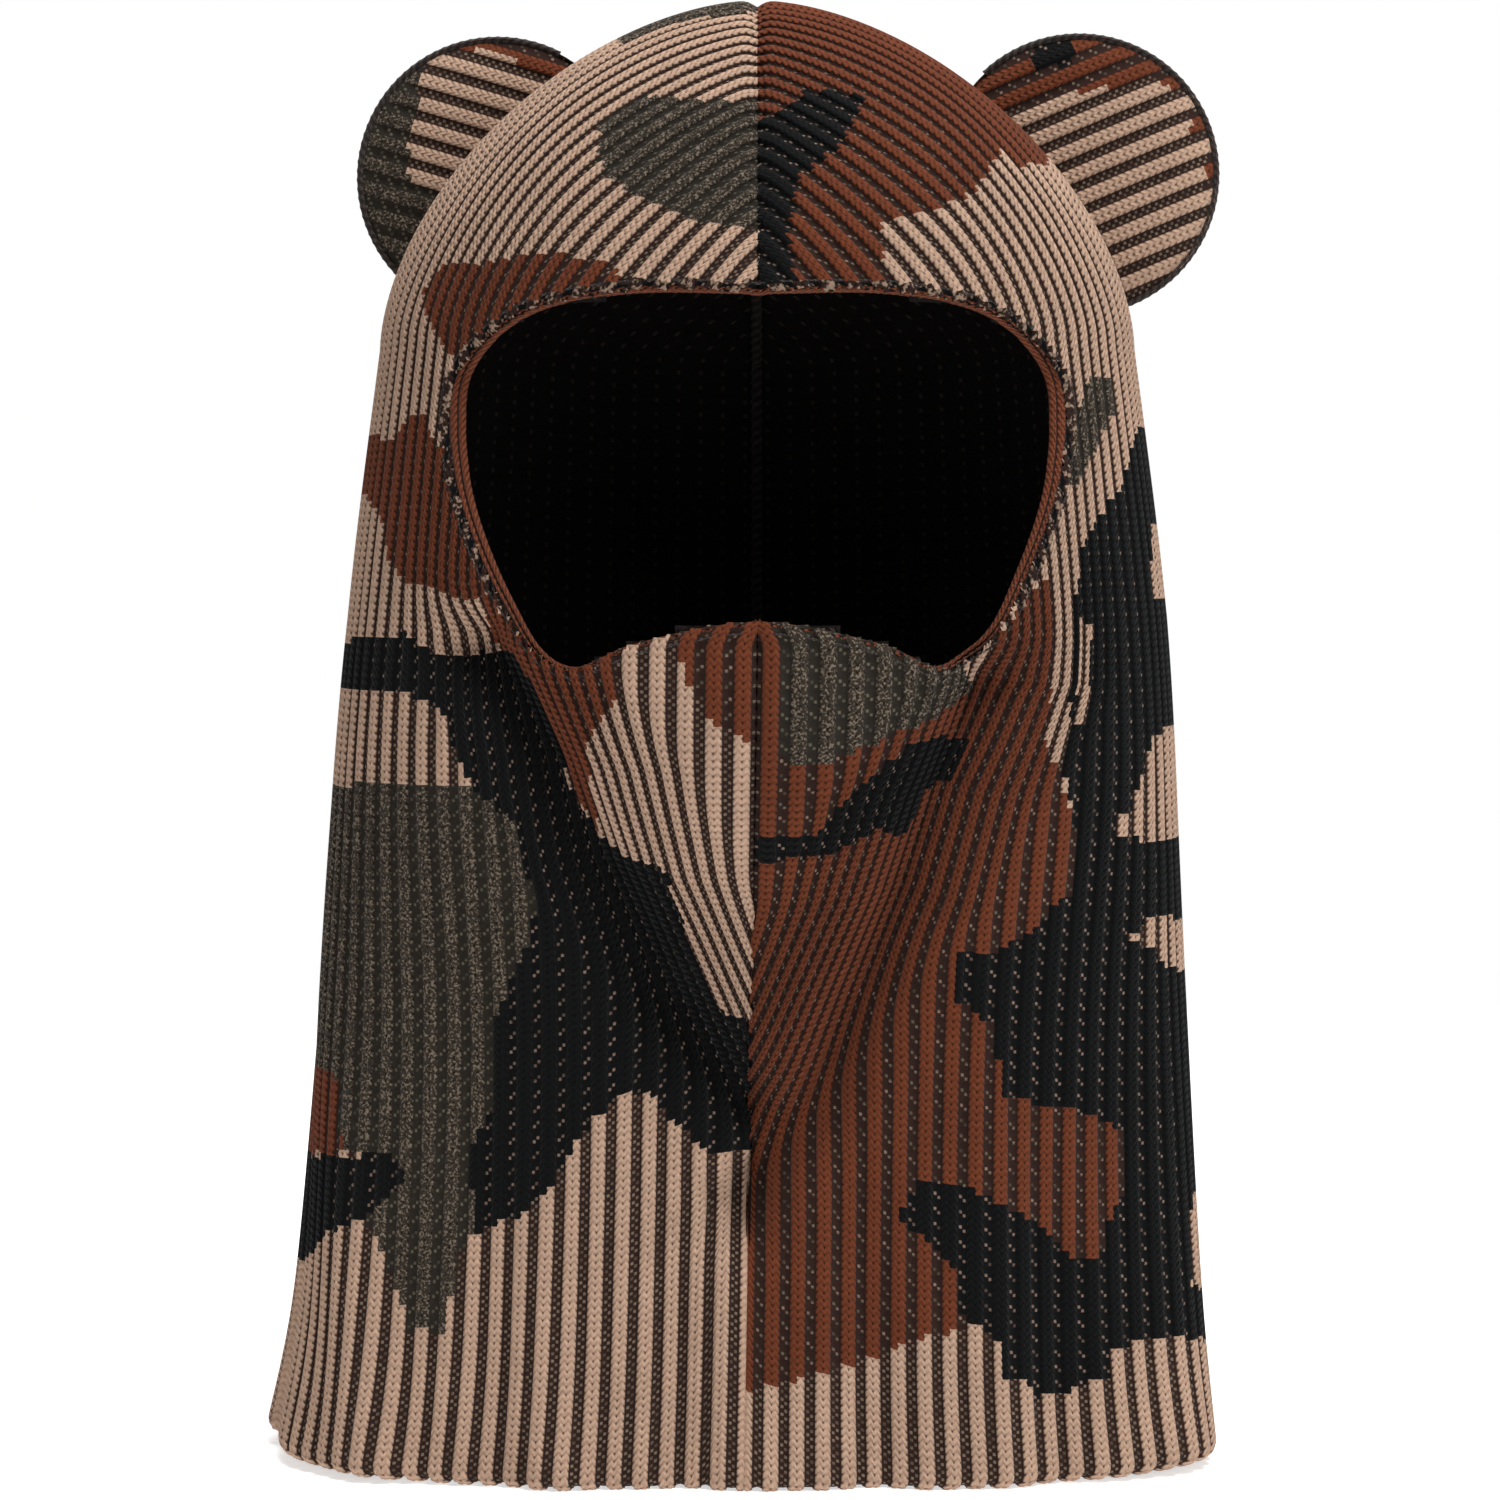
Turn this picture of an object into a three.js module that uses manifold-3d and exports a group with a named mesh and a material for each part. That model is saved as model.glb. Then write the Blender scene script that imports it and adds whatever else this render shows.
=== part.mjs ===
// A knitted camouflage face mask: a two-panel hood with one face opening, a flared neck skirt
// and two padded round ears. Millimetres, +Z up. The wearer looks along -Y, so the wearer's
// left side is +X. The hem stands on Z = 0 and the origin is the middle of the neck opening.
import * as THREE from 'three';
import { mergeVertices } from 'three/addons/utils/BufferGeometryUtils.js';
import Module from 'manifold-3d';

const wasm = await Module();
wasm.setup();

// ---- Driving dimensions -------------------------------------------------------------------

// Height of each level above the hem, the hood's outer reach to the side, front and back there,
// and the power of its level section: 2 is an ellipse, more is flatter with tighter corners.
const hem = { z: 0, side: 124, front: 62, back: 60, power: 3 };
const skirt = { z: 40, side: 118, front: 62, back: 60, power: 3 };
const neck = { z: 120, side: 113, front: 68, back: 66, power: 2.8 };
const mouth = { z: 190, side: 109, front: 90, back: 82, power: 2.5 };
const cheek = { z: 235, side: 105, front: 99, back: 92, power: 2.3 };
const brow = { z: 290, side: 98, front: 99, back: 98, power: 2.2 };
const levels = [hem, skirt, neck, mouth, cheek, brow];
const crownTop = 381;
const crownRoundness = 1.7; // power of the crown's outline seen from the front

const knitThickness = 3;
const touchGap = 0.3; // left between pieces that touch
const seamGap = 0.3; // between the two panels along the centre seam

// Face opening, seen from the front: the wearer's left half of its outline, brow to chin.
const openingOutline = [
  [0, 300], [36, 300], [60, 294.5], [75, 280], [75.5, 258],
  [67, 233], [56, 213.5], [46, 208.5], [30, 214.5], [0, 220],
];
const bindingWidth = 5;
const bindingStand = 0.8; // how far the rolled binding stands proud of the knit, inside and out
const stitchWidth = 1.2;
const stitchHeight = 0.9;

const hemFoldHeight = 25;
const hemFoldThickness = 2.4;
const hemStitchDrop = 3; // from the fold's top edge down to its stitching
const hemStitchWidth = 1.6;

const seamAllowance = 6; // how far the overlocked seam edge stands into the hood
const seamEdgeThickness = 3;

const earRadius = 35;
const earHalfThickness = 7;
const earSkin = 2.6;
const earEdgeCord = 1.3; // radius of the overlocked edge around an ear
const earBack = 8; // how far the ears stand behind the hood's middle
const earFootRadius = 7.5; // round foot that a sewn ear nods about
const earFootRise = 1.8; // from the crown's surface up to the line an ear nods about
const earFootSpread = 2; // how far the foot stands out past the ear's own lens
const earFootDrop = 1; // from the nodding line down to the foot's spread skirt
// Each ear leans out from the crown's middle, and its own middle stands off the crown's surface.
const rightEar = { side: -1, lean: 56, rise: -7.3 };
const leftEar = { side: 1, lean: 61, rise: 6.18 };

const roundSteps = 36; // points around a level section
const crownSteps = 7;
const levelSteps = 10;
const openingSteps = 44;
const lensSteps = 5;
const earRoundSteps = 30;
const cordSides = 6;
const far = 2 * crownTop; // past the hood in every direction
const plugBack = 10; // the opening's cutters start this far in front of the hood's middle

// ---- Solids -------------------------------------------------------------------------------

function toSolid(geometry) {
  const bare = geometry.clone();
  bare.deleteAttribute('normal');
  bare.deleteAttribute('uv');
  const merged = mergeVertices(bare, 1e-4);
  return new wasm.Manifold(new wasm.Mesh({
    numProp: 3,
    vertProperties: new Float32Array(merged.attributes.position.array),
    triVerts: new Uint32Array(merged.index.array),
  }));
}

function toGeometry(solid) {
  const cut = solid.getMesh();
  const geometry = new THREE.BufferGeometry();
  geometry.setAttribute('position', new THREE.BufferAttribute(cut.vertProperties, 3));
  geometry.setIndex(new THREE.BufferAttribute(cut.triVerts, 1));
  geometry.computeVertexNormals();
  return geometry;
}

// The hood's reach at a height up to the brow, smooth between the levels.
const levelCurves = ['side', 'front', 'back', 'power'].map(
  (reach) => new THREE.SplineCurve(levels.map((level) => new THREE.Vector2(level.z, level[reach]))),
);

function reachAt(share) {
  const [side, front, back, power] = levelCurves.map((curve) => curve.getPoint(share));
  return { z: side.x, side: side.y, front: front.y, back: back.y, power: power.y };
}

// Every level section of the hood, from the hem up, with each wall moved in by inset.
function sections(inset) {
  const found = [];
  for (let i = 0; i <= levelSteps; i += 1) {
    const at = reachAt(i / levelSteps);
    found.push({ ...at, side: at.side - inset, front: at.front - inset, back: at.back - inset });
  }
  for (let i = 1; i < crownSteps; i += 1) {
    const angle = (i / crownSteps) * (Math.PI / 2);
    const spread = Math.cos(angle) ** (2 / crownRoundness);
    const rise = Math.sin(angle) ** (2 / crownRoundness);
    found.push({
      z: brow.z + (crownTop - inset - brow.z) * rise,
      side: (brow.side - inset) * spread,
      front: (brow.front - inset) * spread,
      back: (brow.back - inset) * spread,
      power: brow.power,
    });
  }
  return found;
}

// A sine or cosine bent so that a level section has the given power.
function bent(value, power) {
  return Math.sign(value) * Math.abs(value) ** (2 / power);
}

// The whole hood as one filled block, its walls moved in by inset, reaching below the hem by drop.
function hoodBlock(inset, drop = 0) {
  const rings = sections(inset);
  if (drop > 0) rings.unshift({ ...rings[0], z: hem.z - drop });
  const bottom = hem.z - drop;
  const positions = [];
  rings.forEach((ring) => {
    for (let i = 0; i < roundSteps; i += 1) {
      const angle = (i / roundSteps) * 2 * Math.PI;
      const depth = Math.cos(angle) > 0 ? ring.front : ring.back;
      const across = ring.side * bent(Math.sin(angle), ring.power);
      positions.push(across, -depth * bent(Math.cos(angle), ring.power), ring.z);
    }
  });
  const top = positions.length / 3;
  positions.push(0, 0, crownTop - inset);
  positions.push(0, 0, bottom);
  const faces = [];
  for (let i = 0; i < roundSteps; i += 1) {
    const next = (i + 1) % roundSteps;
    for (let row = 0; row < rings.length - 1; row += 1) {
      const low = row * roundSteps;
      const high = low + roundSteps;
      faces.push(low + i, low + next, high + next, low + i, high + next, high + i);
    }
    const last = (rings.length - 1) * roundSteps;
    faces.push(last + i, last + next, top, next, i, top + 1);
  }
  const geometry = new THREE.BufferGeometry();
  geometry.setAttribute('position', new THREE.Float32BufferAttribute(positions, 3));
  geometry.setIndex(faces);
  return geometry;
}

// A closed layer of the hood's wall between two insets.
function layer(outer, inner) {
  return toSolid(hoodBlock(outer)).subtract(toSolid(hoodBlock(inner, 10)));
}

function block(low, high) {
  const size = high.map((value, i) => value - low[i]);
  const geometry = new THREE.BoxGeometry(...size);
  geometry.translate(...low.map((value, i) => value + size[i] / 2));
  return toSolid(geometry);
}

// Half of space on one side of the centre seam: side is 1 for the wearer's left, -1 for right.
function halfSpace(side) {
  const edge = (side * seamGap) / 2;
  const ends = [edge, side * far].sort((a, b) => a - b);
  return block([ends[0], -far, -far], [ends[1], far, 2 * far]);
}

// The opening's outline, grown outwards by offset.
function openingPoints(offset) {
  const mirrored = openingOutline.slice(1, -1).reverse().map(([x, z]) => [-x, z]);
  const corners = [...openingOutline, ...mirrored].map(([x, z]) => new THREE.Vector3(x, z, 0));
  const curve = new THREE.CatmullRomCurve3(corners, true, 'centripetal');
  return curve.getSpacedPoints(openingSteps).slice(0, -1).map((point, i, all) => {
    const tangent = curve.getTangentAt(i / all.length);
    return new THREE.Vector2(point.x - tangent.y * offset, point.y + tangent.x * offset);
  });
}

// A plug of the opening's outline, grown by offset, running through the hood's front wall only.
// extra lengthens it at both ends.
function openingPlug(offset, extra = 0) {
  const depth = far + 2 * extra;
  const outline = new THREE.Shape(openingPoints(offset));
  const geometry = new THREE.ExtrudeGeometry(outline, { depth, bevelEnabled: false });
  geometry.rotateX(Math.PI / 2);
  geometry.translate(0, extra - plugBack, 0);
  return toSolid(geometry);
}

// The ring between two offsets of the opening's outline.
function openingRing(outer, inner) {
  return openingPlug(outer).subtract(openingPlug(inner, 1));
}

// ---- Pieces -------------------------------------------------------------------------------

const group = new THREE.Group();

function addPiece(parent, name, solid, colour, roughness) {
  const material = new THREE.MeshStandardMaterial({ color: colour, roughness, metalness: 0 });
  const mesh = new THREE.Mesh(toGeometry(solid), material);
  mesh.name = name;
  parent.add(mesh);
}

const tan = 0xb4967f;
const rust = 0x733c26;
const olive = 0x524c3e;
const nearBlack = 0x1c1a1a;
const fibre = 0xe4dfd6;

const wall = layer(0, knitThickness);
const cutForBinding = openingPlug(bindingWidth + touchGap);
const bindingRing = layer(-bindingStand, knitThickness + bindingStand)
  .intersect(openingRing(bindingWidth, 0));
const stitchInner = bindingWidth + 2 * touchGap;
const stitchRing = layer(-touchGap - stitchHeight, -touchGap)
  .intersect(openingRing(stitchInner + stitchWidth, stitchInner));
const foldOuter = knitThickness + touchGap;
const foldInner = foldOuter + hemFoldThickness;
const hemFold = layer(foldOuter, foldInner)
  .intersect(block([-far, -far, -far], [far, far, hem.z + hemFoldHeight]));
const hemStitchTop = hem.z + hemFoldHeight - hemStitchDrop;
const hemStitch = layer(foldInner + touchGap, foldInner + touchGap + stitchHeight)
  .intersect(block([-far, -far, hemStitchTop - hemStitchWidth], [far, far, hemStitchTop]));

function addSide(name, side, panelColour) {
  const half = halfSpace(side);
  addPiece(group, `${name}_panel`, wall.intersect(half).subtract(cutForBinding), panelColour, 0.95);
  addPiece(group, `${name}_face_binding`, bindingRing.intersect(half), rust, 0.9);
  addPiece(group, `${name}_binding_stitching`, stitchRing.intersect(half), nearBlack, 0.8);
  addPiece(group, `${name}_hem_fold`, hemFold.intersect(half), tan, 0.95);
}

addSide('right', -1, tan);
addSide('left', 1, rust);
// The overlocked edges of the two panels, standing into the hood along the centre seam.
// They stop short of the hem fold's stitching and of the face binding.
const seamEdge = layer(foldOuter, foldOuter + seamAllowance)
  .intersect(block([-seamEdgeThickness / 2, -far, hem.z + hemFoldHeight + touchGap],
    [seamEdgeThickness / 2, far, far]))
  .subtract(cutForBinding);
const front = block([-far, -far, -far], [far, 0, mouth.z + 60]);
addPiece(group, 'chin_seam', seamEdge.intersect(front), nearBlack, 0.9);
addPiece(group, 'crown_and_back_seam', seamEdge.subtract(front), nearBlack, 0.9);
addPiece(group, 'hem_stitching', hemStitch, olive, 0.85);

// Half of an ear's thickness at a distance from its middle, for a lens of the given size.
function lensHalf(radius, half, distance) {
  return half * Math.sqrt(Math.max(0, 1 - (distance / radius) ** 2));
}

// Points along one face of a lens, from its middle to its rim, no nearer its mid plane than foot.
function lensFace(radius, half, foot) {
  const points = [];
  for (let i = 0; i <= lensSteps; i += 1) {
    const distance = radius * Math.sin((i / lensSteps) * (Math.PI / 2));
    points.push(new THREE.Vector2(distance, Math.max(foot, lensHalf(radius, half, distance))));
  }
  return points;
}

function turned(points) {
  return new THREE.LatheGeometry(points, earRoundSteps);
}

// One skin of an ear: the space between two lenses, on one side of the mid plane.
function earSkinShape(outerRadius, outerHalf, innerRadius, innerHalf, foot) {
  const inner = lensFace(innerRadius, innerHalf, foot);
  const outer = lensFace(outerRadius, outerHalf, foot);
  return turned([...inner, ...outer.reverse()]);
}

function fullLens(radius, half, foot) {
  const back = lensFace(radius, half, foot);
  const front = back.map((point) => new THREE.Vector2(point.x, -point.y));
  return turned([...front, ...back.reverse()]);
}

// From the crown's middle out to its surface, along a lean from the vertical.
function crownReach(lean) {
  const across = (Math.sin(lean) / brow.side) ** crownRoundness;
  const up = (Math.cos(lean) / (crownTop - brow.z)) ** crownRoundness;
  return (across + up) ** (-1 / crownRoundness);
}

function addEar(name, ear, colour) {
  const lean = THREE.MathUtils.degToRad(ear.lean);
  const reach = crownReach(lean) + ear.rise;
  const holder = new THREE.Group();
  holder.position.set(ear.side * reach * Math.sin(lean), earBack, brow.z + reach * Math.cos(lean));
  // The holder's Y stays the ear's thickness and its Z points away from the crown.
  holder.rotation.y = ear.side * lean;
  holder.updateMatrix();
  const inverse = holder.matrix.clone().invert();
  const crown = (rise) => toSolid(hoodBlock(-rise).applyMatrix4(inverse));
  const nodLine = earFootRise - ear.rise;
  const knuckle = (radius) => toSolid(new THREE.CylinderGeometry(radius, radius, 4 * earRadius, 24)
    .rotateZ(Math.PI / 2).translate(0, 0, nodLine));
  const below = (drop) => block([-far, -far, -far], [far, far, nodLine - drop]);
  const notEar = knuckle(earFootRadius).add(below(0)).add(crown(touchGap));

  const innerRadius = earRadius - earSkin;
  const innerHalf = earHalfThickness - earSkin;
  const skin = earSkinShape(earRadius, earHalfThickness, innerRadius, innerHalf, touchGap / 2);
  const padding = fullLens(innerRadius - touchGap, innerHalf - touchGap, touchGap);
  const edgeRadius = earRadius + touchGap + earEdgeCord;
  const edge = new THREE.TorusGeometry(edgeRadius, earEdgeCord, cordSides, earRoundSteps);
  const footLens = fullLens(earRadius + earFootSpread, earHalfThickness + earFootSpread, touchGap);
  const footRoom = knuckle(earFootRadius - touchGap).add(below(earFootDrop));
  const foot = toSolid(footLens).intersect(footRoom).subtract(crown(touchGap));

  const frontSkin = skin.clone().rotateX(Math.PI);
  addPiece(holder, `${name}_ear_front`, toSolid(frontSkin).subtract(notEar), colour, 0.95);
  addPiece(holder, `${name}_ear_back`, toSolid(skin).subtract(notEar), nearBlack, 0.95);
  addPiece(holder, `${name}_ear_padding`, toSolid(padding).subtract(notEar), fibre, 1);
  addPiece(holder, `${name}_ear_edge_seam`, toSolid(edge.rotateX(Math.PI / 2)).subtract(notEar), olive, 0.9);
  addPiece(holder, `${name}_ear_foot`, foot, nearBlack, 0.9);
  group.add(holder);
}

addEar('right', rightEar, tan);
addEar('left', leftEar, tan);

export default group;
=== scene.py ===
"""The looks of a ribbed jacquard face mask with two padded ears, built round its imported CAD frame.

Lengths are millimetres until make_mesh turns them into metres. +X is the wearer's left and the
wearer looks along -Y. The knit is laid out as it is knitted: every rib is eight lines of points
that follow the rib, and every course is two rows, so stitches, holes and colour changes line up.
"""
import math
import bpy
import numpy as np
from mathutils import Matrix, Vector


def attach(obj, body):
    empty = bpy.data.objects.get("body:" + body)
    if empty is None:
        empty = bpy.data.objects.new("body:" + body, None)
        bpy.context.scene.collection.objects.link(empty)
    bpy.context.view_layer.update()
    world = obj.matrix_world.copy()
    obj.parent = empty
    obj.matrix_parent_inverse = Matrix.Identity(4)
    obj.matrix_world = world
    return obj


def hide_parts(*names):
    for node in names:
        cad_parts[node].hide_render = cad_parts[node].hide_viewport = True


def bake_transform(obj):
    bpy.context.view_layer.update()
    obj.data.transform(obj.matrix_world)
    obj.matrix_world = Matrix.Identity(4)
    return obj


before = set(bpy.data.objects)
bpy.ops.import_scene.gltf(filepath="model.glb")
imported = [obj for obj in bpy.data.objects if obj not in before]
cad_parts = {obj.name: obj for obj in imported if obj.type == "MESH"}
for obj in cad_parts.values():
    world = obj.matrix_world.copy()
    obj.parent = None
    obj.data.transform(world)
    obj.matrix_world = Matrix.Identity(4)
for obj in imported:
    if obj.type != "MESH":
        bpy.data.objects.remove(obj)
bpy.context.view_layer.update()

MM = 0.001

# ---- The hood's shape, as in the CAD part ----------------------------------------------------

# Height, then reach to the side, front and back, and the power of the level section there.
LEVELS = np.array([
    [0, 124, 62, 60, 3],
    [40, 118, 62, 60, 3],
    [120, 113, 68, 66, 2.8],
    [190, 109, 90, 82, 2.5],
    [235, 105, 99, 92, 2.3],
    [290, 98, 99, 98, 2.2],
], float)
BROW_Z = LEVELS[-1, 0]
MOUTH_Z = 190.0
CROWN_TOP = 381.0
CROWN_ROUNDNESS = 1.7
KNIT = 3.0
HALF_OPENING = [
    (0, 300), (36, 300), (60, 294.5), (75, 280), (75.5, 258),
    (67, 233), (56, 213.5), (46, 208.5), (30, 214.5), (0, 220),
]

# ---- The knit ----------------------------------------------------------------------------------

COURSE = 1.94
HALF_COURSE = COURSE / 2
HEM_RIBS = 24.0  # ribs in a quarter of the hem, and in each quarter of the back
# The chin cover is wider than the neck, so ribs come in from the seam along the two valleys.
EXTRA_HEIGHTS = [0, 215, 240, 290]
EXTRA_RIBS = [7.5, 7.5, 5.5, 2.5]
EXTRA_SPREAD = 0.2  # half the width over which they come in, as a share of a quarter
# The middle of that band at these heights, as a share of the quarter from the seam.
VALLEY_PLACES = [-0.2, 0.0, 0.2, 0.28, 0.42, 0.5]
RIGHT_VALLEY_HEIGHTS = [84, 118, 157, 184, 214, 290]
LEFT_VALLEY_HEIGHTS = [72, 108, 150, 176, 204, 290]
CROWN_START = 0.12  # how softly the ribs start to turn over the crown, as a share of its height
# Where the eight lines of a rib run, in ribs from its middle, and how high each stands.
LINE_OFFSETS = np.array([-0.335, -0.275, -0.14, 0, 0.14, 0.275, 0.335, 0.5])
LINE_HEIGHTS = np.array([-0.1, 0.75, 1.05, 0.85, 1.05, 0.75, -0.1, -0.4])
# Which line stands for the stitch that each strip between two lines belongs to.
STITCH_LINE = np.array([2, 2, 2, 4, 4, 4, 7, 7])
LINES_PER_RIB = len(LINE_OFFSETS)
HOLE_DEPTH = 0.35
DASH_HEIGHT = 0.35
HEM_ROLL = 2.6  # radius of the turned bottom edge

TAN, BROWN, OLIVE, BLACK, SPECKLED, SHADED_GROOVE, FACING = range(7)


def spline_table():
    """Each level value at many heights: a uniform Catmull-Rom curve through the levels."""
    ends = np.vstack([LEVELS[0], LEVELS, LEVELS[-1]])
    spots = np.linspace(0, len(LEVELS) - 1, 1201)
    first = np.minimum(spots.astype(int), len(LEVELS) - 2)
    part = (spots - first)[:, None]
    a, b, c, d = (ends[first + i] for i in range(4))
    rise, fall = (c - a) / 2, (d - b) / 2
    cubic = (2 * b - 2 * c + rise + fall) * part**3
    return cubic + (3 * c - 3 * b - 2 * rise - fall) * part**2 + rise * part + b


LEVEL_TABLE = spline_table()


def level_rows(heights, insets):
    """Side, front, back, power and height of level sections whose walls are moved in."""
    heights = np.asarray(heights, float)
    found = [np.interp(heights, LEVEL_TABLE[:, 0], LEVEL_TABLE[:, k]) for k in range(1, 5)]
    side, front, back, power = found
    return np.stack([side - insets, front - insets, back - insets, power, heights], 1)


def crown_rows(inset, count):
    angle = np.linspace(0, math.radians(89.6), count + 1)[1:]
    spread = np.cos(angle) ** (2 / CROWN_ROUNDNESS)
    rise = np.sin(angle) ** (2 / CROWN_ROUNDNESS)
    _, side, front, back, power = LEVELS[-1]
    z = BROW_Z + (CROWN_TOP - inset - BROW_Z) * rise
    reach = [(size - inset) * spread for size in (side, front, back)]
    return np.stack([*reach, np.full(count, power), z], 1)


def half_ring(row, columns):
    """Points of one half of a level section from the front seam to the back one, evenly spaced."""
    side, front, back, power, z = row
    angle = np.linspace(0, math.pi / 2, 181)
    across = side * np.sin(angle) ** (2 / power)
    parts = []
    for depth, sign in ((front, -1), (back, 1)):
        along = sign * depth * np.cos(angle) ** (2 / power)
        run = np.concatenate([[0], np.cumsum(np.hypot(np.diff(across), np.diff(along)))])
        spots = np.linspace(0, run[-1], columns)
        part = np.stack([np.interp(spots, run, across), np.interp(spots, run, along)], 1)
        parts.append(part if sign < 0 else part[::-1][1:])
    ring = np.vstack(parts)
    return np.column_stack([ring, np.full(len(ring), z)])


def hood_grid(rows, columns, side):
    grid = np.array([half_ring(row, columns) for row in rows])
    grid[..., 0] *= side
    return grid


def normals_of(grid, side):
    across = np.gradient(grid, axis=1)
    up = np.gradient(grid, axis=0)
    normal = np.cross(across, up) * side
    size = np.linalg.norm(normal, axis=2, keepdims=True)
    return normal / np.maximum(size, 1e-9)


# ---- Folds and drape -------------------------------------------------------------------------

# The valleys between the chin cover and the skirt, as (x, z) lines.
RIGHT_VALLEY = [(-72, 214), (-54, 186), (-38, 155), (-25, 128), (-3, 98)]
LEFT_VALLEY = [(58, 203), (44, 165), (31, 128), (17, 98), (-3, 72)]
VALLEY_DEPTH = 12.0
VALLEY_WIDTH = 9.0
CHIN_BULGE = 7.0
CHIN_HEIGHT = 188.0
CHIN_SIZE = 34.0
WAVE_HEIGHT = 2.2
WAVE_LENGTH = 52.0
WAVE_TOP = 170.0  # the skirt's waves fade out towards this height
HALF_GIRTH = 250.0
SEAM_DIP = 1.7
SEAM_DIP_WIDTH = 2.0
HEM_DRIFT = 3.4  # how far the skirt hangs to the wearer's right
DRIFT_TOP = 220.0
SIDE_LIFT = 3.0
LIFT_TOP = 90.0


def distance_to_line(x, z, line):
    best = np.full(np.shape(x), 1e9)
    for (x0, z0), (x1, z1) in zip(line[:-1], line[1:]):
        dx, dz = x1 - x0, z1 - z0
        t = np.clip(((x - x0) * dx + (z - z0) * dz) / (dx * dx + dz * dz), 0, 1)
        best = np.minimum(best, np.hypot(x - x0 - t * dx, z - z0 - t * dz))
    return best


def drape(points):
    """How far the cloth stands out from, or in of, its plain shape at each point."""
    x, y, z = points[..., 0], points[..., 1], points[..., 2]
    in_front = np.clip(-y / 30, 0, 1)
    valley = np.zeros(np.shape(x))
    for line in (RIGHT_VALLEY, LEFT_VALLEY):
        valley += np.exp(-(distance_to_line(x, z, line) / VALLEY_WIDTH) ** 2)
    bulge = np.exp(-(x / CHIN_SIZE) ** 2 - ((z - CHIN_HEIGHT) / CHIN_SIZE) ** 2)
    low = np.clip(1 - z / WAVE_TOP, 0, 1)
    turn = np.where(y < 0, x, HALF_GIRTH - x) / WAVE_LENGTH
    wave = np.sin(2 * math.pi * turn + 0.8) + 0.45 * np.sin(4.4 * math.pi * turn + 2.0 + z / 40)
    seam = np.exp(-(x / SEAM_DIP_WIDTH) ** 2)
    out = in_front * (CHIN_BULGE * bulge - VALLEY_DEPTH * valley)
    return out + WAVE_HEIGHT * low * wave - SEAM_DIP * seam


def drift(points):
    moved = points.copy()
    low = np.clip(1 - points[..., 2] / DRIFT_TOP, 0, 1)
    moved[..., 0] -= HEM_DRIFT * low
    return moved


def lifted(points):
    """The hem rises towards its two sides."""
    moved = points.copy()
    low = np.clip(1 - points[..., 2] / LIFT_TOP, 0, 1)
    moved[..., 2] += SIDE_LIFT * low * np.abs(points[..., 0] / LEVELS[0, 1]) ** 3
    return moved


def draped_grid(rows, columns, side):
    """(points, normals) of the draped cloth."""
    plain = hood_grid(rows, columns, side)
    outward = normals_of(plain, side)
    rolled = int(np.argmax(np.diff(rows[:, 1]) <= 0)) + 1 if rows[0, 1] < rows[1, 1] else 0
    outward[:rolled] = outward[rolled + 1]
    points = lifted(drift(plain + drape(plain)[..., None] * outward))
    return points, normals_of(points, side)


# ---- Camouflage ------------------------------------------------------------------------------

# Patches are outlines on the upright plane through the hood's front, seen from the camera.
EYE = np.array([-1.9, -1250.0, 230.0])
PLANE_Y = -73.0

RIGHT_FRONT = [
    (OLIVE, [(-34, 362), (-26, 366.5), (-14, 369.5), (2, 371), (2, 400), (-44, 400)]),
    (OLIVE, [(-40, 343), (-28, 350), (4, 348), (4, 317), (-14, 319), (-26, 323), (-39, 331)]),
    (BROWN, [(-84, 301), (-77, 309.5), (-68, 309), (-51, 311.5), (-40, 309.5), (-31, 304),
             (-40, 296), (-60, 292), (-74, 284), (-81, 291)]),
    (BROWN, [(-108, 265), (-90.5, 265.5), (-87, 271), (-83.5, 271), (-80, 262.5), (-73, 264.5),
             (-62, 240), (-52, 222), (-68.5, 224), (-86, 228.7), (-92, 233), (-94, 245)]),
    (BROWN, [(-70, 228), (-54, 210), (-34, 220), (-35, 200), (-43, 190), (-42, 178), (-40, 167),
             (-46, 177), (-51, 192), (-60, 210), (-66, 215)]),
    (BROWN, [(-20, 222), (-19, 207), (-11, 193), (4, 188), (4, 226), (-20, 222)]),
    (BLACK, [(-112, 213), (-99, 215.5), (-88, 216.7), (-79, 210.4), (-64, 213), (-60, 210),
             (-51, 192.5), (-47, 178), (-40, 166), (-33, 160.5), (-24, 158), (-18, 142.5),
             (-11, 123), (4, 117), (4, 86.5), (-12, 87.5), (-22, 96), (-28, 102.5), (-35, 101),
             (-44, 92), (-53, 76), (-60, 71), (-72, 66), (-76, 80), (-70, 100), (-70, 119),
             (-62, 133), (-55, 148), (-61, 169), (-72, 179), (-79, 196.7), (-88, 201.7), (-112, 204)]),
    (OLIVE, [(-130, 179), (-72, 179), (-61, 169), (-55, 148), (-60, 133), (-66, 119),
             (-66, 100), (-73, 84), (-70, 70), (-75, 60), (-79, 42), (-87, 42), (-91, 54),
             (-98, 70), (-90, 80), (-94, 87), (-104, 87), (-106, 107), (-130, 112)]),
    (BROWN, [(-130, 112), (-106, 107), (-104, 87), (-130, 86)]),
    (BLACK, [(-130, 86), (-92, 86), (-88, 82), (-91, 77), (-100, 70), (-109, 66), (-113, 60),
             (-130, 60)]),
]
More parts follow.
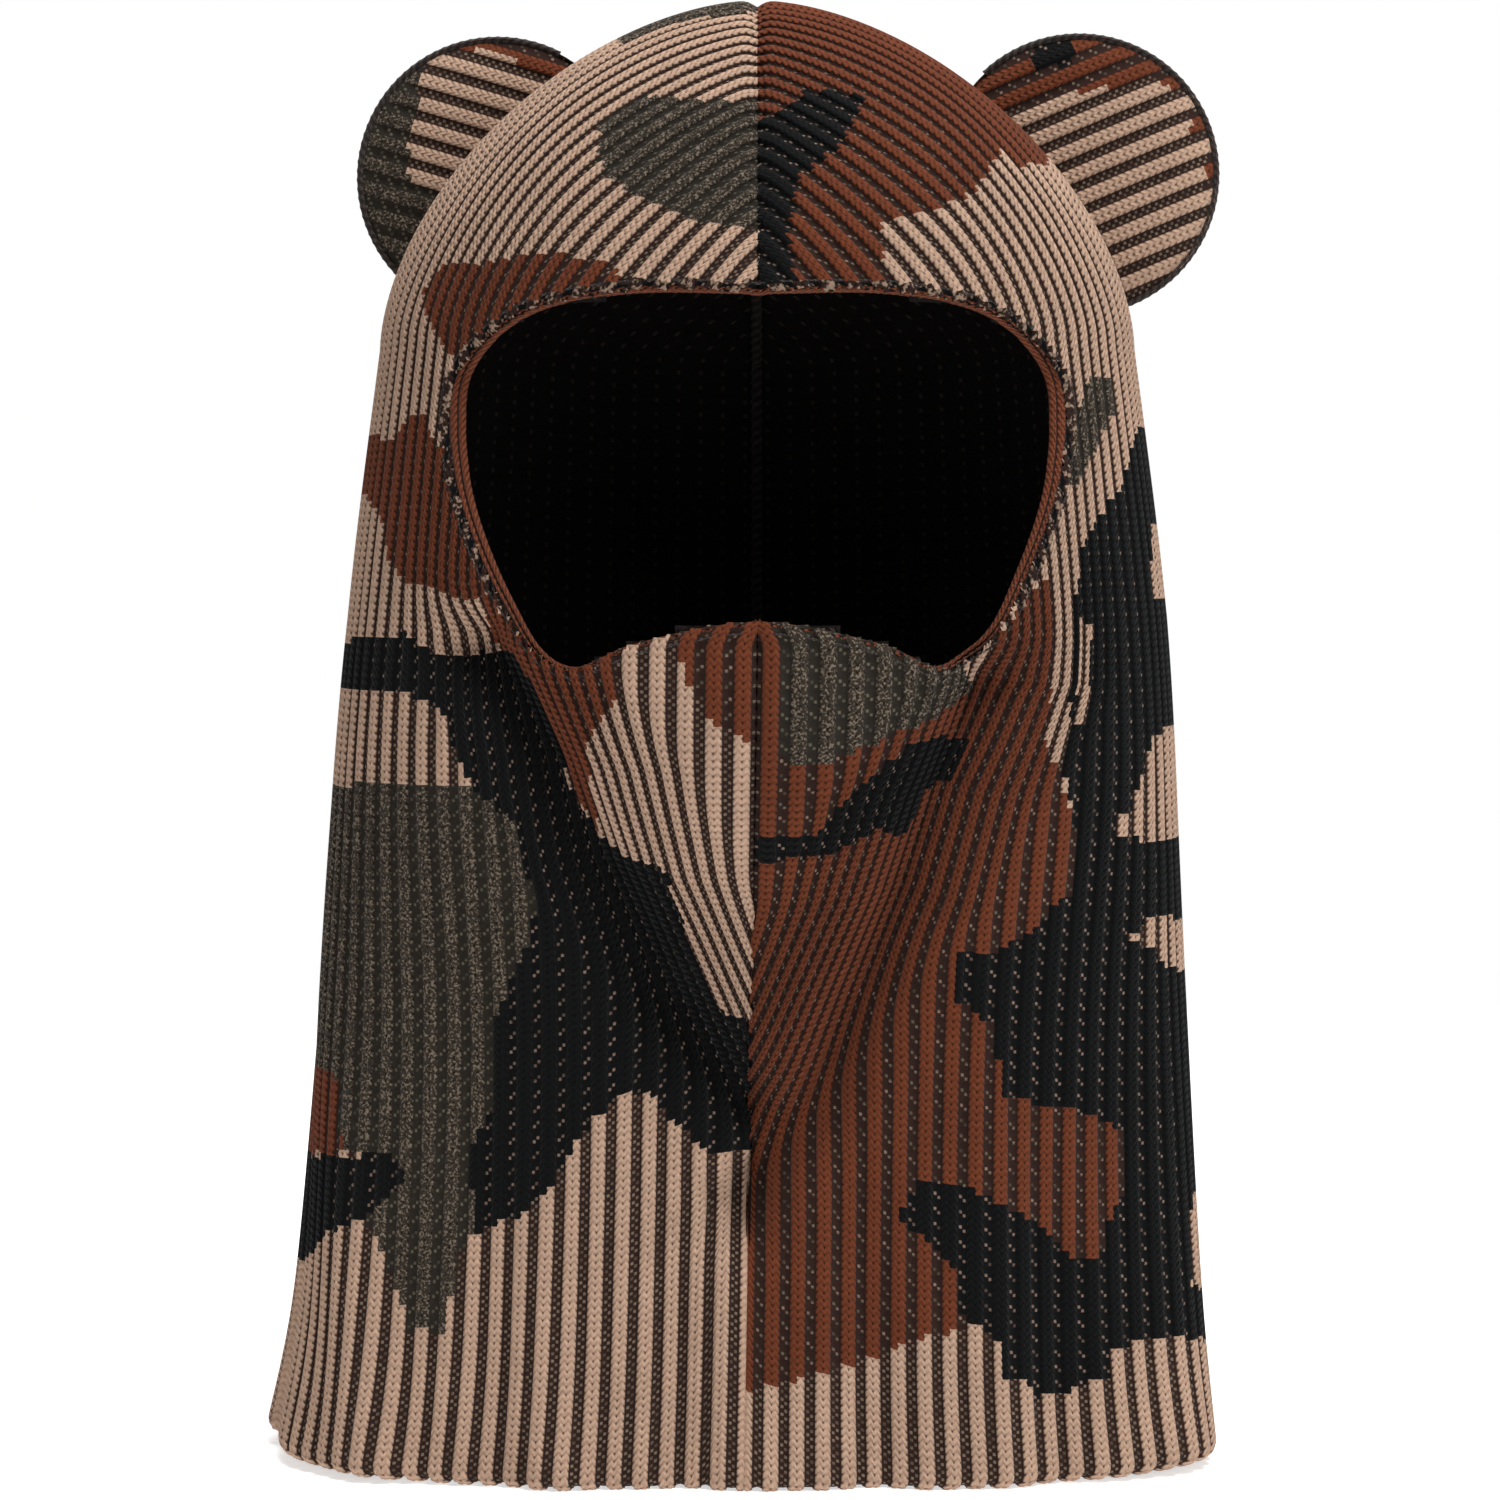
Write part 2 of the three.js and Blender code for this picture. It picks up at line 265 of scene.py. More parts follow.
LEFT_FRONT = [
    (BROWN, [(-4, 400), (72, 400), (72, 333), (64, 333), (61, 337), (54, 326), (43, 322),
             (31, 318), (31, 311), (36, 297), (-4, 290)]),
    (BLACK, [(-4, 290), (-4, 342), (8, 347), (12, 352), (27, 350.5), (21, 338), (11, 331),
             (8, 314), (11, 290)]),
    (OLIVE, [(83, 280), (88, 281), (89, 272), (84, 262), (79, 252), (74, 262), (80, 272)]),
    (BROWN, [(-4, 200), (10, 200), (24, 189), (44, 195), (54, 203), (62, 219), (73, 231),
             (74.5, 215), (72, 190), (76, 180), (79, 170), (79, 153), (69, 143), (57, 136),
             (50, 137), (50, 125), (60, 118), (61, 101), (78, 98), (91, 93), (91.5, 78),
             (86, 61), (80, 60), (67, 71), (53, 78), (40, 79), (35, 70), (46, 62), (54, 57),
             (56, 44), (38, 39), (20, 32), (0, 27), (-10, 27), (-10, 60)]),
    (BROWN, [(-4, 226), (5, 226), (5, 186), (-4, 186)]),
    (OLIVE, [(5, 230), (30, 222), (50, 210), (54, 203), (44, 195), (24, 187), (16, 184),
             (8, 183), (5, 187)]),
    (BLACK, [(-4, 159), (-4, 166), (14, 166), (24, 177), (40, 190), (46, 191), (53, 191),
             (49, 181), (43, 178), (37, 166), (30, 168), (18, 161)]),
    (BLACK, [(95, 268), (130, 268), (130, 40), (105, 40), (89, 38), (88, 31), (79, 27),
             (70, 25), (68, 29), (62, 30), (60, 40), (54, 44), (50, 47), (50, 57), (46, 62),
             (35, 70), (40, 79), (53, 78), (67, 71), (80, 60), (86, 61), (91.5, 78), (91, 93),
             (78, 98), (61, 101), (60, 118), (50, 125), (50, 137), (57, 136), (69, 143),
             (79, 153), (79, 170), (77, 180), (78, 193), (79, 222), (82, 241), (91, 253)]),
    (TAN, [(79.5, 193), (82.5, 194), (83.5, 218), (80.5, 220)]),
    (TAN, [(98, 244), (103, 243), (105, 226), (99, 226)]),
    (TAN, [(90, 165), (112, 166), (112, 199), (99, 191), (94, 173), (90, 171)]),
    (TAN, [(93, 140), (100, 137), (103, 133), (112, 133), (112, 143), (100, 147)]),
    (TAN, [(109, 53), (120, 53), (120, 77), (109, 77)]),
]
# The back's patches, as (x, z). They meet the front's at the two sides.
RIGHT_BACK = [
    (OLIVE, [(-130, 176), (-78, 180), (-52, 150), (-58, 112), (-84, 98), (-130, 105)]),
    (BROWN, [(-130, 105), (-84, 98), (-88, 80), (-130, 77)]),
    (BLACK, [(-130, 77), (-88, 80), (-60, 72), (-74, 46), (-130, 49)]),
    (BLACK, [(-130, 212), (-96, 216), (-66, 230), (-22, 208), (2, 182), (2, 148), (-34, 170),
             (-68, 198), (-96, 204), (-130, 202)]),
    (BROWN, [(-130, 268), (-92, 276), (-60, 288), (-22, 262), (-30, 240), (-70, 236),
             (-130, 252)]),
    (OLIVE, [(-62, 352), (-40, 400), (2, 400), (2, 318), (-36, 326)]),
    (BLACK, [(-42, 118), (2, 128), (2, 66), (-26, 58)]),
]
LEFT_BACK = [
    (BLACK, [(130, 262), (100, 272), (84, 278), (62, 242), (76, 204), (52, 160), (60, 104),
             (78, 52), (96, 34), (130, 26)]),
    (BROWN, [(-2, 150), (40, 172), (46, 112), (30, 60), (-2, 42)]),
    (BROWN, [(-2, 400), (76, 400), (72, 332), (32, 312), (-2, 330)]),
    (OLIVE, [(-2, 292), (46, 282), (60, 218), (26, 196), (-2, 216)]),
    (TAN, [(130, 244), (130, 226), (101, 227), (95, 234), (100, 243)]),
    (TAN, [(130, 194), (130, 159), (100, 163), (94, 176), (99, 190)]),
    (TAN, [(130, 140), (130, 127), (112, 128), (110, 133), (112, 139)]),
    (TAN, [(130, 68), (130, 42), (117, 45), (115, 57), (118, 66)]),
]
RIGHT_EAR_PATCHES = [
    (OLIVE, [(-110, 400), (-40, 400), (-40, 280), (-110, 280)]),
    (TAN, [(-79, 361), (-83, 357), (-85, 345), (-87, 333.5), (-85.5, 328), (-76, 324),
           (-40, 312), (-40, 366)]),
    (BROWN, [(-79, 372), (-79, 362), (-64, 361), (-50, 352), (-40, 345), (-40, 372)]),
]
LEFT_EAR_PATCHES = [
    (BROWN, [(50, 400), (50, 342), (65, 347), (80, 351), (98, 354), (108, 350), (125, 352),
             (125, 400)]),
    (BLACK, [(69, 356), (78, 358), (79, 368), (68, 366)]),
    (BROWN, [(107, 341), (125, 341), (125, 348), (108, 347)]),
    (BROWN, [(111, 327), (125, 327), (125, 338), (112, 338)]),
]


def on_view_plane(points):
    """(x, z) where the line from the eye to each point meets the patches' plane."""
    share = (PLANE_Y - EYE[1]) / (points[..., 1] - EYE[1])
    x = EYE[0] + (points[..., 0] - EYE[0]) * share
    z = EYE[2] + (points[..., 2] - EYE[2]) * share
    return x, z


def inside(x, z, outline):
    """True where (x, z) is in the outline, by counting the edges on one side."""
    hit = np.zeros(np.shape(x), bool)
    for (x0, z0), (x1, z1) in zip(outline, outline[1:] + outline[:1]):
        if z0 == z1:
            continue
        crosses = (z0 > z) != (z1 > z)
        hit ^= crosses & (x < (x1 - x0) * (z - z0) / (z1 - z0) + x0)
    return hit


def painted(x, z, patches):
    found = np.full(np.shape(x), TAN)
    for colour, outline in patches:
        found[inside(x, z, outline)] = colour
    return found


def hood_camo(points, side):
    front, back = (RIGHT_FRONT, RIGHT_BACK) if side < 0 else (LEFT_FRONT, LEFT_BACK)
    seen = painted(*on_view_plane(points), front)
    behind = painted(points[..., 0], points[..., 2], back)
    return np.where(points[..., 1] < 0, seen, behind)


# ---- Meshes ----------------------------------------------------------------------------------


def make_mesh(name, points, faces, uvs, bake_uvs, materials, camo=None, slots=None):
    """A smooth mesh. A face whose corner repeats the next one loses that corner."""
    points = points.reshape(-1, 3)
    camo = np.zeros(len(faces)) if camo is None else camo
    kept = faces != np.roll(faces, -1, axis=1)
    whole = kept.sum(1) >= 3
    faces, kept, uvs, bake_uvs = faces[whole], kept[whole], uvs[whole], bake_uvs[whole]
    camo = camo[whole]
    used, corners = np.unique(faces[kept], return_inverse=True)
    mesh = bpy.data.meshes.new(name)
    mesh.vertices.add(len(used))
    mesh.vertices.foreach_set("co", (points[used] * MM).astype(np.float32).ravel())
    mesh.loops.add(len(corners))
    mesh.loops.foreach_set("vertex_index", corners.astype(np.int32).ravel())
    starts = np.concatenate([[0], np.cumsum(kept.sum(1))[:-1]])
    mesh.polygons.add(len(starts))
    mesh.polygons.foreach_set("loop_start", starts.astype(np.int32))
    for label, values in (("knit", uvs), ("OFBake", bake_uvs)):
        layer = mesh.uv_layers.new(name=label)
        layer.data.foreach_set("uv", values[kept].astype(np.float32).ravel())
    attribute = mesh.attributes.new("camo", "FLOAT", "FACE")
    attribute.data.foreach_set("value", camo.astype(np.float32))
    for material in materials:
        mesh.materials.append(material)
    if slots is not None:
        mesh.polygons.foreach_set("material_index", slots[whole].astype(np.int32))
    mesh.update(calc_edges=True)
    mesh.validate()
    mesh.shade_smooth()
    piece = bpy.data.objects.new(name, mesh)
    bpy.context.scene.collection.objects.link(piece)
    return piece


def grid_faces(rows, columns, flip=False, around=False):
    """Faces of a grid whose points are numbered row by row. around joins the last column to
    the first."""
    row, column = np.meshgrid(np.arange(rows - 1), np.arange(columns - (not around)), indexing="ij")
    low = (row * columns + column).ravel()
    right = (row * columns + (column + 1) % columns).ravel()
    faces = np.stack([low, right, right + columns, low + columns], 1)
    return faces[:, ::-1] if flip else faces


def grid_uvs(faces, columns, scale_u, scale_v, seam=None):
    """Each corner's column and row, scaled. seam is the column count of a grid that closes."""
    column = (faces % columns).astype(float)
    row = (faces // columns).astype(float)
    if seam:
        wraps = column.max(1, keepdims=True) - column > 1.5
        column = np.where(wraps, column + seam, column)
    return np.stack([column * scale_u, row * scale_v], 2)


def joined(first, second):
    """Two sets of points, faces, knit UVs, baking UVs and colours as one."""
    faces = np.vstack([first[1], second[1] + len(first[0])])
    points, uvs, bake, camo = (np.concatenate([first[k], second[k]]) for k in (0, 2, 3, 4))
    return points, faces, uvs, bake, camo


def tube(name, points, material, wraps, rate):
    """Rings of points joined up. wraps and rate lay the thread's twist round and along them."""
    rings, sides = points.shape[:2]
    faces = grid_faces(rings, sides, around=True)
    uvs = grid_uvs(faces, sides, wraps / sides, rate, seam=sides)
    bake = grid_uvs(faces, sides, 1 / sides, 1 / (rings - 1), seam=sides)
    return make_mesh(name, points, faces, uvs, bake, [material])


# ---- Ribbed cloth ----------------------------------------------------------------------------


def rib_numbers(rows, grid, side):
    """The rib number at every grid point: 0 at the side, minus at the front, plus behind."""
    count = grid.shape[1]
    place = np.linspace(0, 2, count)[None, :]
    z = rows[:, 4][:, None]
    from_seam = np.where(place <= 1, place, 2 - place)
    valley = np.interp(z, RIGHT_VALLEY_HEIGHTS if side < 0 else LEFT_VALLEY_HEIGHTS, VALLEY_PLACES)
    ramp = np.clip((valley - from_seam) / (2 * EXTRA_SPREAD) + 0.5, 0, 1)
    extra = np.interp(z, EXTRA_HEIGHTS, EXTRA_RIBS) * ramp * ramp * (3 - 2 * ramp)
    front = -HEM_RIBS * (1 - from_seam) - extra
    lower = np.where(place <= 1, front, HEM_RIBS * (1 - from_seam))
    _, reach, ahead, behind, _ = LEVELS[-1]
    x = np.abs(grid[..., 0]) / reach
    y = grid[..., 1] / np.where(grid[..., 1] < 0, ahead, behind)
    up = np.maximum(grid[..., 2] - BROW_Z, 0) / (CROWN_TOP - BROW_Z)
    up = up * up / (up + CROWN_START)
    turn = np.arctan2(up, -y)
    angle = np.arctan2(x, np.hypot(y, up)) / (math.pi / 2)
    brow = int(np.argmin(np.abs(rows[:, 4] - BROW_Z)))
    half = count // 2 + 1
    share = np.interp(angle, angle[brow, :half], np.linspace(0, 1, half))
    chevron = 1 - turn / (math.pi / 2) + 0.12 * np.sin(turn)
    level = np.cos(turn) * (1 - share)
    blend = 2 * share**3 - 3 * share**2 + 1
    crown = -HEM_RIBS * (level + (chevron - np.cos(turn)) * blend)
    ramp = np.clip((valley[brow] - share) / (2 * EXTRA_SPREAD) + 0.5, 0, 1)
    ahead_share = np.clip(np.cos(turn), 0, 1) ** 2
    crown = crown - EXTRA_RIBS[-1] * ramp * ramp * (3 - 2 * ramp) * ahead_share
    return np.where(z > BROW_Z, crown, lower)


def rib_path(number, ribs, places):
    """(row, column) along one rib line, with its two ends cut exactly at the seams."""
    first, last = ribs[:, 0], ribs[:, -1]
    rows = np.nonzero((first <= number) & (number <= last))[0]
    if len(rows) < 2:
        return None
    low, high = rows[0], rows[-1]
    rows = np.arange(low, high + 1)
    path = [(row, places[row]) for row in rows]
    for end, step in ((low, -1), (high, 1)):
        beyond = end + step
        if not 0 <= beyond < len(ribs):
            continue
        edge, column = (first, 0) if number < first[beyond] else (last, ribs.shape[1] - 1)
        part = (number - edge[end]) / (edge[beyond] - edge[end])
        spot = (end + step * float(np.clip(part, 0, 1)), column)
        path = [spot, *path] if step < 0 else [*path, spot]
    return np.array(path, float)


def sampled(grid, row, column):
    """Values of a grid between its points."""
    r = np.clip(row.astype(int), 0, grid.shape[0] - 2)
    c = np.clip(column.astype(int), 0, grid.shape[1] - 2)
    a = (row - r)[..., None]
    b = (column - c)[..., None]
    low = grid[r, c] * (1 - b) + grid[r, c + 1] * b
    high = grid[r + 1, c] * (1 - b) + grid[r + 1, c + 1] * b
    return low * (1 - a) + high * a


def rib_relief(line, course_row):
    """How high the knit stands on each line and row: ribs, stitch holes and recess floats."""
    column = line % LINES_PER_RIB
    height = LINE_HEIGHTS[column] + 0.0 * course_row
    middle_hole = (column == 3) & (course_row % 2 == 1)
    edge_hole = np.isin(column, (1, 5)) & (course_row % 2 == 0)
    dash = (column == 7) & (course_row % 4 < 2)
    return height - HOLE_DEPTH * (middle_hole | edge_hole) + DASH_HEIGHT * dash


def laid_lines(paths, points, anchor_row):
    """Row and column of every point on every line, at even steps along the line, the steps'
    numbers from the anchor row, and each line's first and last step."""
    found = []
    for path in paths:
        spots = sampled(points, path[:, 0], path[:, 1])
        run = np.concatenate([[0], np.cumsum(np.linalg.norm(np.diff(spots, axis=0), axis=1))])
        found.append((path, run, np.interp(anchor_row, path[:, 0], run)))
    low = min(math.floor(-zero / HALF_COURSE) for _, _, zero in found)
    high = max(math.ceil((run[-1] - zero) / HALF_COURSE) for _, run, zero in found)
    steps = np.arange(low, high + 1)
    rows, columns, firsts, lasts = [], [], [], []
    for path, run, zero in found:
        along = np.clip(zero + steps * HALF_COURSE, 0, run[-1])
        rows.append(np.interp(along, run, path[:, 0]))
        columns.append(np.interp(along, run, path[:, 1]))
        firsts.append(math.floor(-zero / HALF_COURSE) - low)
        lasts.append(math.ceil((run[-1] - zero) / HALF_COURSE) - low)
    return np.array(rows), np.array(columns), steps, np.array(firsts), np.array(lasts)


def line_faces(firsts, lasts, count, flip):
    """Faces between neighbouring lines. Steps past a line's end stand at its end."""
    step = np.arange(count)[None, :]
    ends = np.clip(step, firsts[:, None], lasts[:, None])
    ids = np.arange(len(firsts))[:, None] * count + ends
    corners = [ids[:-1, :-1], ids[1:, :-1], ids[1:, 1:], ids[:-1, 1:]]
    faces = np.stack([corner.ravel() for corner in corners], 1)
    return faces[:, ::-1] if flip else faces


def stitch_samples(lines, steps, first_line, first_step):
    """For each face, the line and step of the stitch it belongs to."""
    line, step = np.meshgrid(np.arange(lines - 1), np.arange(steps - 1), indexing="ij")
    number = line + first_line
    middle = number - number % LINES_PER_RIB + STITCH_LINE[number % LINES_PER_RIB] - first_line
    course = step + first_step
    centre = course - course % 2 + 1 - first_step
    return np.clip(middle, 0, lines - 1).ravel(), np.clip(centre, 0, steps - 1).ravel()


# ---- The face opening ------------------------------------------------------------------------


def opening_outline(samples):
    """The face opening as evenly spaced (x, z) points, and the direction away from it at each."""
    mirrored = [(-x, z) for x, z in HALF_OPENING[1:-1][::-1]]
    corners = np.array(HALF_OPENING + mirrored, float)
    count = len(corners)
    dense = []
    for i in range(count):
        p0, p1, p2, p3 = (corners[(i + k) % count] for k in (-1, 0, 1, 2))
        d0, d1, d2 = (math.sqrt(np.linalg.norm(b - a)) for a, b in ((p0, p1), (p1, p2), (p2, p3)))
        m1 = (p1 - p0) / d0 - (p2 - p0) / (d0 + d1) + (p2 - p1) / d1
        m2 = (p2 - p1) / d1 - (p3 - p1) / (d1 + d2) + (p3 - p2) / d2
        m1, m2 = m1 * d1, m2 * d1
        t = np.linspace(0, 1, 40, endpoint=False)[:, None]
        curve = (2 * t**3 - 3 * t**2 + 1) * p1 + (t**3 - 2 * t**2 + t) * m1
        dense.append(curve + (-2 * t**3 + 3 * t**2) * p2 + (t**3 - t**2) * m2)
    dense = np.vstack([*dense, dense[0][:1]])
    run = np.concatenate([[0], np.cumsum(np.linalg.norm(np.diff(dense, axis=0), axis=1))])
    spots = np.linspace(0, run[-1], samples, endpoint=False)
    outline = np.stack([np.interp(spots, run, dense[:, k]) for k in (0, 1)], 1)
    along = np.roll(outline, -1, axis=0) - np.roll(outline, 1, axis=0)
    along /= np.linalg.norm(along, axis=1, keepdims=True)
    return outline, np.stack([-along[:, 1], along[:, 0]], 1), run[-1]


def front_surface(x, z):
    """(point, normal) on the plain front of the hood."""

    def depth(x, z):
        side, front, _, power = (
            np.interp(np.minimum(z, BROW_Z), LEVEL_TABLE[:, 0], LEVEL_TABLE[:, k]) for k in range(1, 5)
        )
        up = np.clip((z - BROW_Z) / (CROWN_TOP - BROW_Z), 0, 0.999)
        spread = np.where(z > BROW_Z, (1 - up**CROWN_ROUNDNESS) ** (1 / CROWN_ROUNDNESS), 1)
        share = np.clip(np.abs(x) / (side * spread), 0, 0.999)
        return -front * spread * (1 - share**power) ** (1 / power)

    step = 0.5
    slope_x = (depth(x + step, z) - depth(x - step, z)) / (2 * step)
    slope_z = (depth(x, z + step) - depth(x, z - step)) / (2 * step)
    normal = np.stack([slope_x, -np.ones_like(slope_x), slope_z], -1)
    normal /= np.linalg.norm(normal, axis=-1, keepdims=True)
    return np.stack([x, depth(x, z), z], -1), normal


def opened(points, faces, grow):
    """True for the faces that lie in the face opening, grown by grow."""
    outline, away, _ = opening_outline(160)
    grown = [tuple(spot) for spot in outline + away * grow]
    centre = points[faces].mean(1)
    in_it = inside(centre[:, 0], centre[:, 2], grown)
    return in_it & (centre[:, 1] < 0)


# ---- Materials -------------------------------------------------------------------------------


class Sum:
    """A number made by a material's nodes. Working with it adds the nodes that do the sum."""

    def __init__(self, shader, socket):
        self.shader = shader
        self.socket = socket

    def __add__(self, other):
        return self.shader.math("ADD", self, other)

    def __sub__(self, other):
        return self.shader.math("SUBTRACT", self, other)

    def __mul__(self, other):
        return self.shader.math("MULTIPLY", self, other)

    def __gt__(self, other):
        return self.shader.math("GREATER_THAN", self, other)

    def __lt__(self, other):
        return self.shader.math("LESS_THAN", self, other)

    def __abs__(self):
        return self.shader.math("ABSOLUTE", self)

    def part(self):
        return self.shader.math("FRACT", self)

    def sine(self):
        return self.shader.math("SINE", self)


class Shader:
    """A material and the nodes that make it."""

    def __init__(self, name):
        self.material = bpy.data.materials.new(name)
        self.material.use_nodes = True
        self.tree = self.material.node_tree
        self.tree.nodes.clear()
        self.surface = self.add("ShaderNodeBsdfPrincipled")
        output = self.add("ShaderNodeOutputMaterial")
        self.put(self.surface.outputs[0], output.inputs["Surface"])

    def add(self, kind, **values):
        node = self.tree.nodes.new(kind)
        for name, value in values.items():
            setattr(node, name, value)
        return node

    def put(self, value, socket):
        """A socket takes a number, a colour, a sum or another node's output."""
        if isinstance(value, Sum):
            value = value.socket
        if isinstance(value, bpy.types.NodeSocket):
            self.tree.links.new(value, socket)
        elif isinstance(value, tuple) and socket.type == "RGBA":
            socket.default_value = (*value, 1)
        else:
            socket.default_value = value

    def math(self, operation, *values):
        node = self.add("ShaderNodeMath", operation=operation)
        for value, socket in zip(values, node.inputs):
            self.put(value, socket)
        return Sum(self, node.outputs[0])

    def step(self, value, low, high):
        """0 below low and 1 above high, smooth between. low may be above high."""
        node = self.add("ShaderNodeMapRange", interpolation_type="SMOOTHSTEP")
        self.put(value, node.inputs["Value"])
        swap = low > high
        node.inputs["From Min"].default_value = min(low, high)
        node.inputs["From Max"].default_value = max(low, high)
        node.inputs["To Min"].default_value = 1.0 if swap else 0.0
        node.inputs["To Max"].default_value = 0.0 if swap else 1.0
        return Sum(self, node.outputs[0])

    def mix(self, share, a, b):
        node = self.add("ShaderNodeMix", data_type="RGBA")
        self.put(share, node.inputs[0])
        self.put(a, node.inputs[6])
        self.put(b, node.inputs[7])
        return node.outputs[2]

    def times(self, colour, share):
        """A colour made darker or lighter by a number."""
        node = self.add("ShaderNodeVectorMath", operation="SCALE")
        self.put(colour, node.inputs[0])
        self.put(share, node.inputs["Scale"])
        return node.outputs[0]

    def uv(self, name):
        node = self.add("ShaderNodeUVMap", uv_map=name)
        split = self.add("ShaderNodeSeparateXYZ")
        self.put(node.outputs[0], split.inputs[0])
        return Sum(self, split.outputs[0]), Sum(self, split.outputs[1])

    def attribute(self, name):
        return Sum(self, self.add("ShaderNodeAttribute", attribute_name=name).outputs["Fac"])

    def noise(self, scale, detail=2.0):
        place = self.add("ShaderNodeTexCoord")
        node = self.add("ShaderNodeTexNoise")
        node.inputs["Scale"].default_value = scale
        node.inputs["Detail"].default_value = detail
        self.put(place.outputs["Object"], node.inputs["Vector"])
        return Sum(self, node.outputs[0])

    def finish(self, colour, height, distance, roughness, sheen):
        self.put(colour, self.surface.inputs["Base Color"])
        bump = self.add("ShaderNodeBump")
        bump.inputs["Distance"].default_value = distance
        bump.inputs["Strength"].default_value = 1.0
        self.put(height, bump.inputs["Height"])
        self.put(bump.outputs[0], self.surface.inputs["Normal"])
        self.surface.inputs["Roughness"].default_value = roughness
        self.surface.inputs["Specular IOR Level"].default_value = 0.1
        self.surface.inputs["Sheen Weight"].default_value = sheen
        self.surface.inputs["Sheen Roughness"].default_value = 0.6
        return self.material


TAN_YARN = (0.45, 0.295, 0.21)
BROWN_YARN = (0.130, 0.033, 0.013)
OLIVE_YARN = (0.076, 0.059, 0.043)
BLACK_YARN = (0.0024, 0.0027, 0.0031)
RECESS_YARN = (0.024, 0.011, 0.008)
DASH_YARN = (0.23, 0.155, 0.115)
GREY_DASH = (0.12, 0.105, 0.07)
FACING_YARN = (0.16, 0.045, 0.02)
SPECK_YARN = (0.26, 0.175, 0.125)
OLIVE_RECESS = (0.02, 0.016, 0.012)


def by_camo(shader, camo, colours):
    """One of the colours, by the face's camouflage number."""
    found = colours[0]
    for i, colour in enumerate(colours[1:]):
        found = shader.mix(camo > i + 0.5, found, colour)
    return found


def speckles(shader, scale, share, dark, light):
    """Small spots of a light colour on a dark one. share is where in the noise they start."""
    return shader.mix(shader.step(shader.noise(scale, 1.0), share, share + 0.08), dark, light)


def shade(colour, share):
    return tuple(share * value for value in colour)


WALE = 0.14  # from a rib's middle to the middle of each of its two wales, in ribs
RECESS_EDGE = (0.275, 0.315)  # where a rib ends and its recess starts
DASH_AT = 0.075  # from the recess's middle to each of its two columns of floats


def knit_material():
    """Two wales of V stitches on each rib, and a dark recess crossed by the other yarn's floats."""
    s = Shader("camo_knit")
    rib, course = s.uv("knit")
    camo = s.attribute("camo")
    away = abs((rib + 0.5).part() - 0.5)
    recess = s.step(away, *RECESS_EDGE)
    wale = abs((away - WALE) * (1 / WALE))
    leg = ((course + wale * 0.55).part() * math.pi).sine()
    hollow = s.step(leg, 0.85, 0.2) * (s.step(wale, 0.55, 1.0) * 0.8 + 0.2)
    # The floats: two columns half a course apart. On tan they cross every course.
    place = rib.part() - 0.5
    turn = (course + (place > 0.0) * 0.5).part()
    dash = s.step(abs(turn - 0.5), 0.26, 0.14) * s.step(abs(abs(place) - DASH_AT), DASH_AT, 0.035)
    second = ((course + 0.25) * 0.5).part() < 0.5
    dash = dash * s.math("MAXIMUM", camo < 0.5, second * 0.9)
    dash = dash * (s.step(s.noise(420, 1.0), 0.35, 0.6) * 0.7 + 0.3)
    streak = s.noise(900, 1.0)
    life = streak * 0.55 + s.noise(60, 3.0) * 0.3 + 0.58
    olive = speckles(s, 1500, 0.52, shade(OLIVE_YARN, 0.42), shade(OLIVE_YARN, 2.1))
    specks = speckles(s, 650, 0.50, RECESS_YARN, SPECK_YARN)
    yarn = by_camo(s, camo, [TAN_YARN, BROWN_YARN, olive, BLACK_YARN, specks])
    tan_dash = s.mix(0.5, DASH_YARN, GREY_DASH)
    brown_dash = s.mix((course * 0.25).part() > 0.5, GREY_DASH, DASH_YARN)
    dashes = by_camo(s, camo, [tan_dash, brown_dash, GREY_DASH, DASH_YARN])
    ground = by_camo(s, camo, [RECESS_YARN, RECESS_YARN, OLIVE_RECESS, BLACK_YARN])
    ribbed = s.times(yarn, hollow * -0.82 + 1.0)
    colour = s.times(s.mix(recess, ribbed, s.mix(dash, ground, dashes)), life)
    height = leg * (recess * -1.0 + 1.0) + dash * 0.8 + streak * 0.3
    return s.finish(colour, height, 0.0003, 0.95, 0.03)


def reverse_material():
    """The dark floats of the knit's inside, with a faint dot of each rib's yarn."""
    s = Shader("knit_reverse")
    rib, course = s.uv("knit")
    across = abs(rib.part() - 0.5)
    along = abs((course * 0.5).part() - 0.5)
    dot = s.step(across, 0.12, 0.05) * s.step(along, 0.22, 0.1)
    fibre = s.noise(700, 2.0)
    ground = s.mix(fibre, (0.006, 0.005, 0.005), (0.016, 0.012, 0.010))
    colour = s.mix(dot, ground, (0.05, 0.04, 0.03))
    return s.finish(colour, fibre + dot, 0.0005, 0.95, 0.05)


def binding_material():
    """The facing's two rust cords of plain knit, with the grooves between them coloured dark as
    painted shade.
    """
    s = Shader("binding_knit")
    across, course = s.uv("knit")
    leg = ((course + across.part() * 0.8).part() * math.pi).sine()
    # the groove faces take the dark recess colour: painted shade in the grooves
    plain = s.mix(s.attribute("camo") > SHADED_GROOVE + 0.5, RECESS_YARN, FACING_YARN)
    fibre = s.noise(900, 2.0)
    colour = s.times(s.times(plain, leg * 0.6 + 0.45), fibre * 0.55 + 0.7)
    return s.finish(colour, leg + fibre * 0.4, 0.0004, 0.95, 0.03)


def thread_material(name, low, high):
    """Spun thread: a fine twist of two shades."""
    s = Shader(name)
    across, along = s.uv("knit")
    twist = ((along + across * 0.6) * (2 * math.pi)).sine()
    ply = s.step(twist, -0.6, 0.7)
    fibre = s.noise(1400, 2.0)
    colour = s.mix(ply * 0.6 + fibre * 0.4, low, high)
    return s.finish(colour, ply + fibre, 0.0002, 0.8, 0.1)


FLOOR_GLOW = 0.6  # keeps the pale floor as white as the backdrop behind it


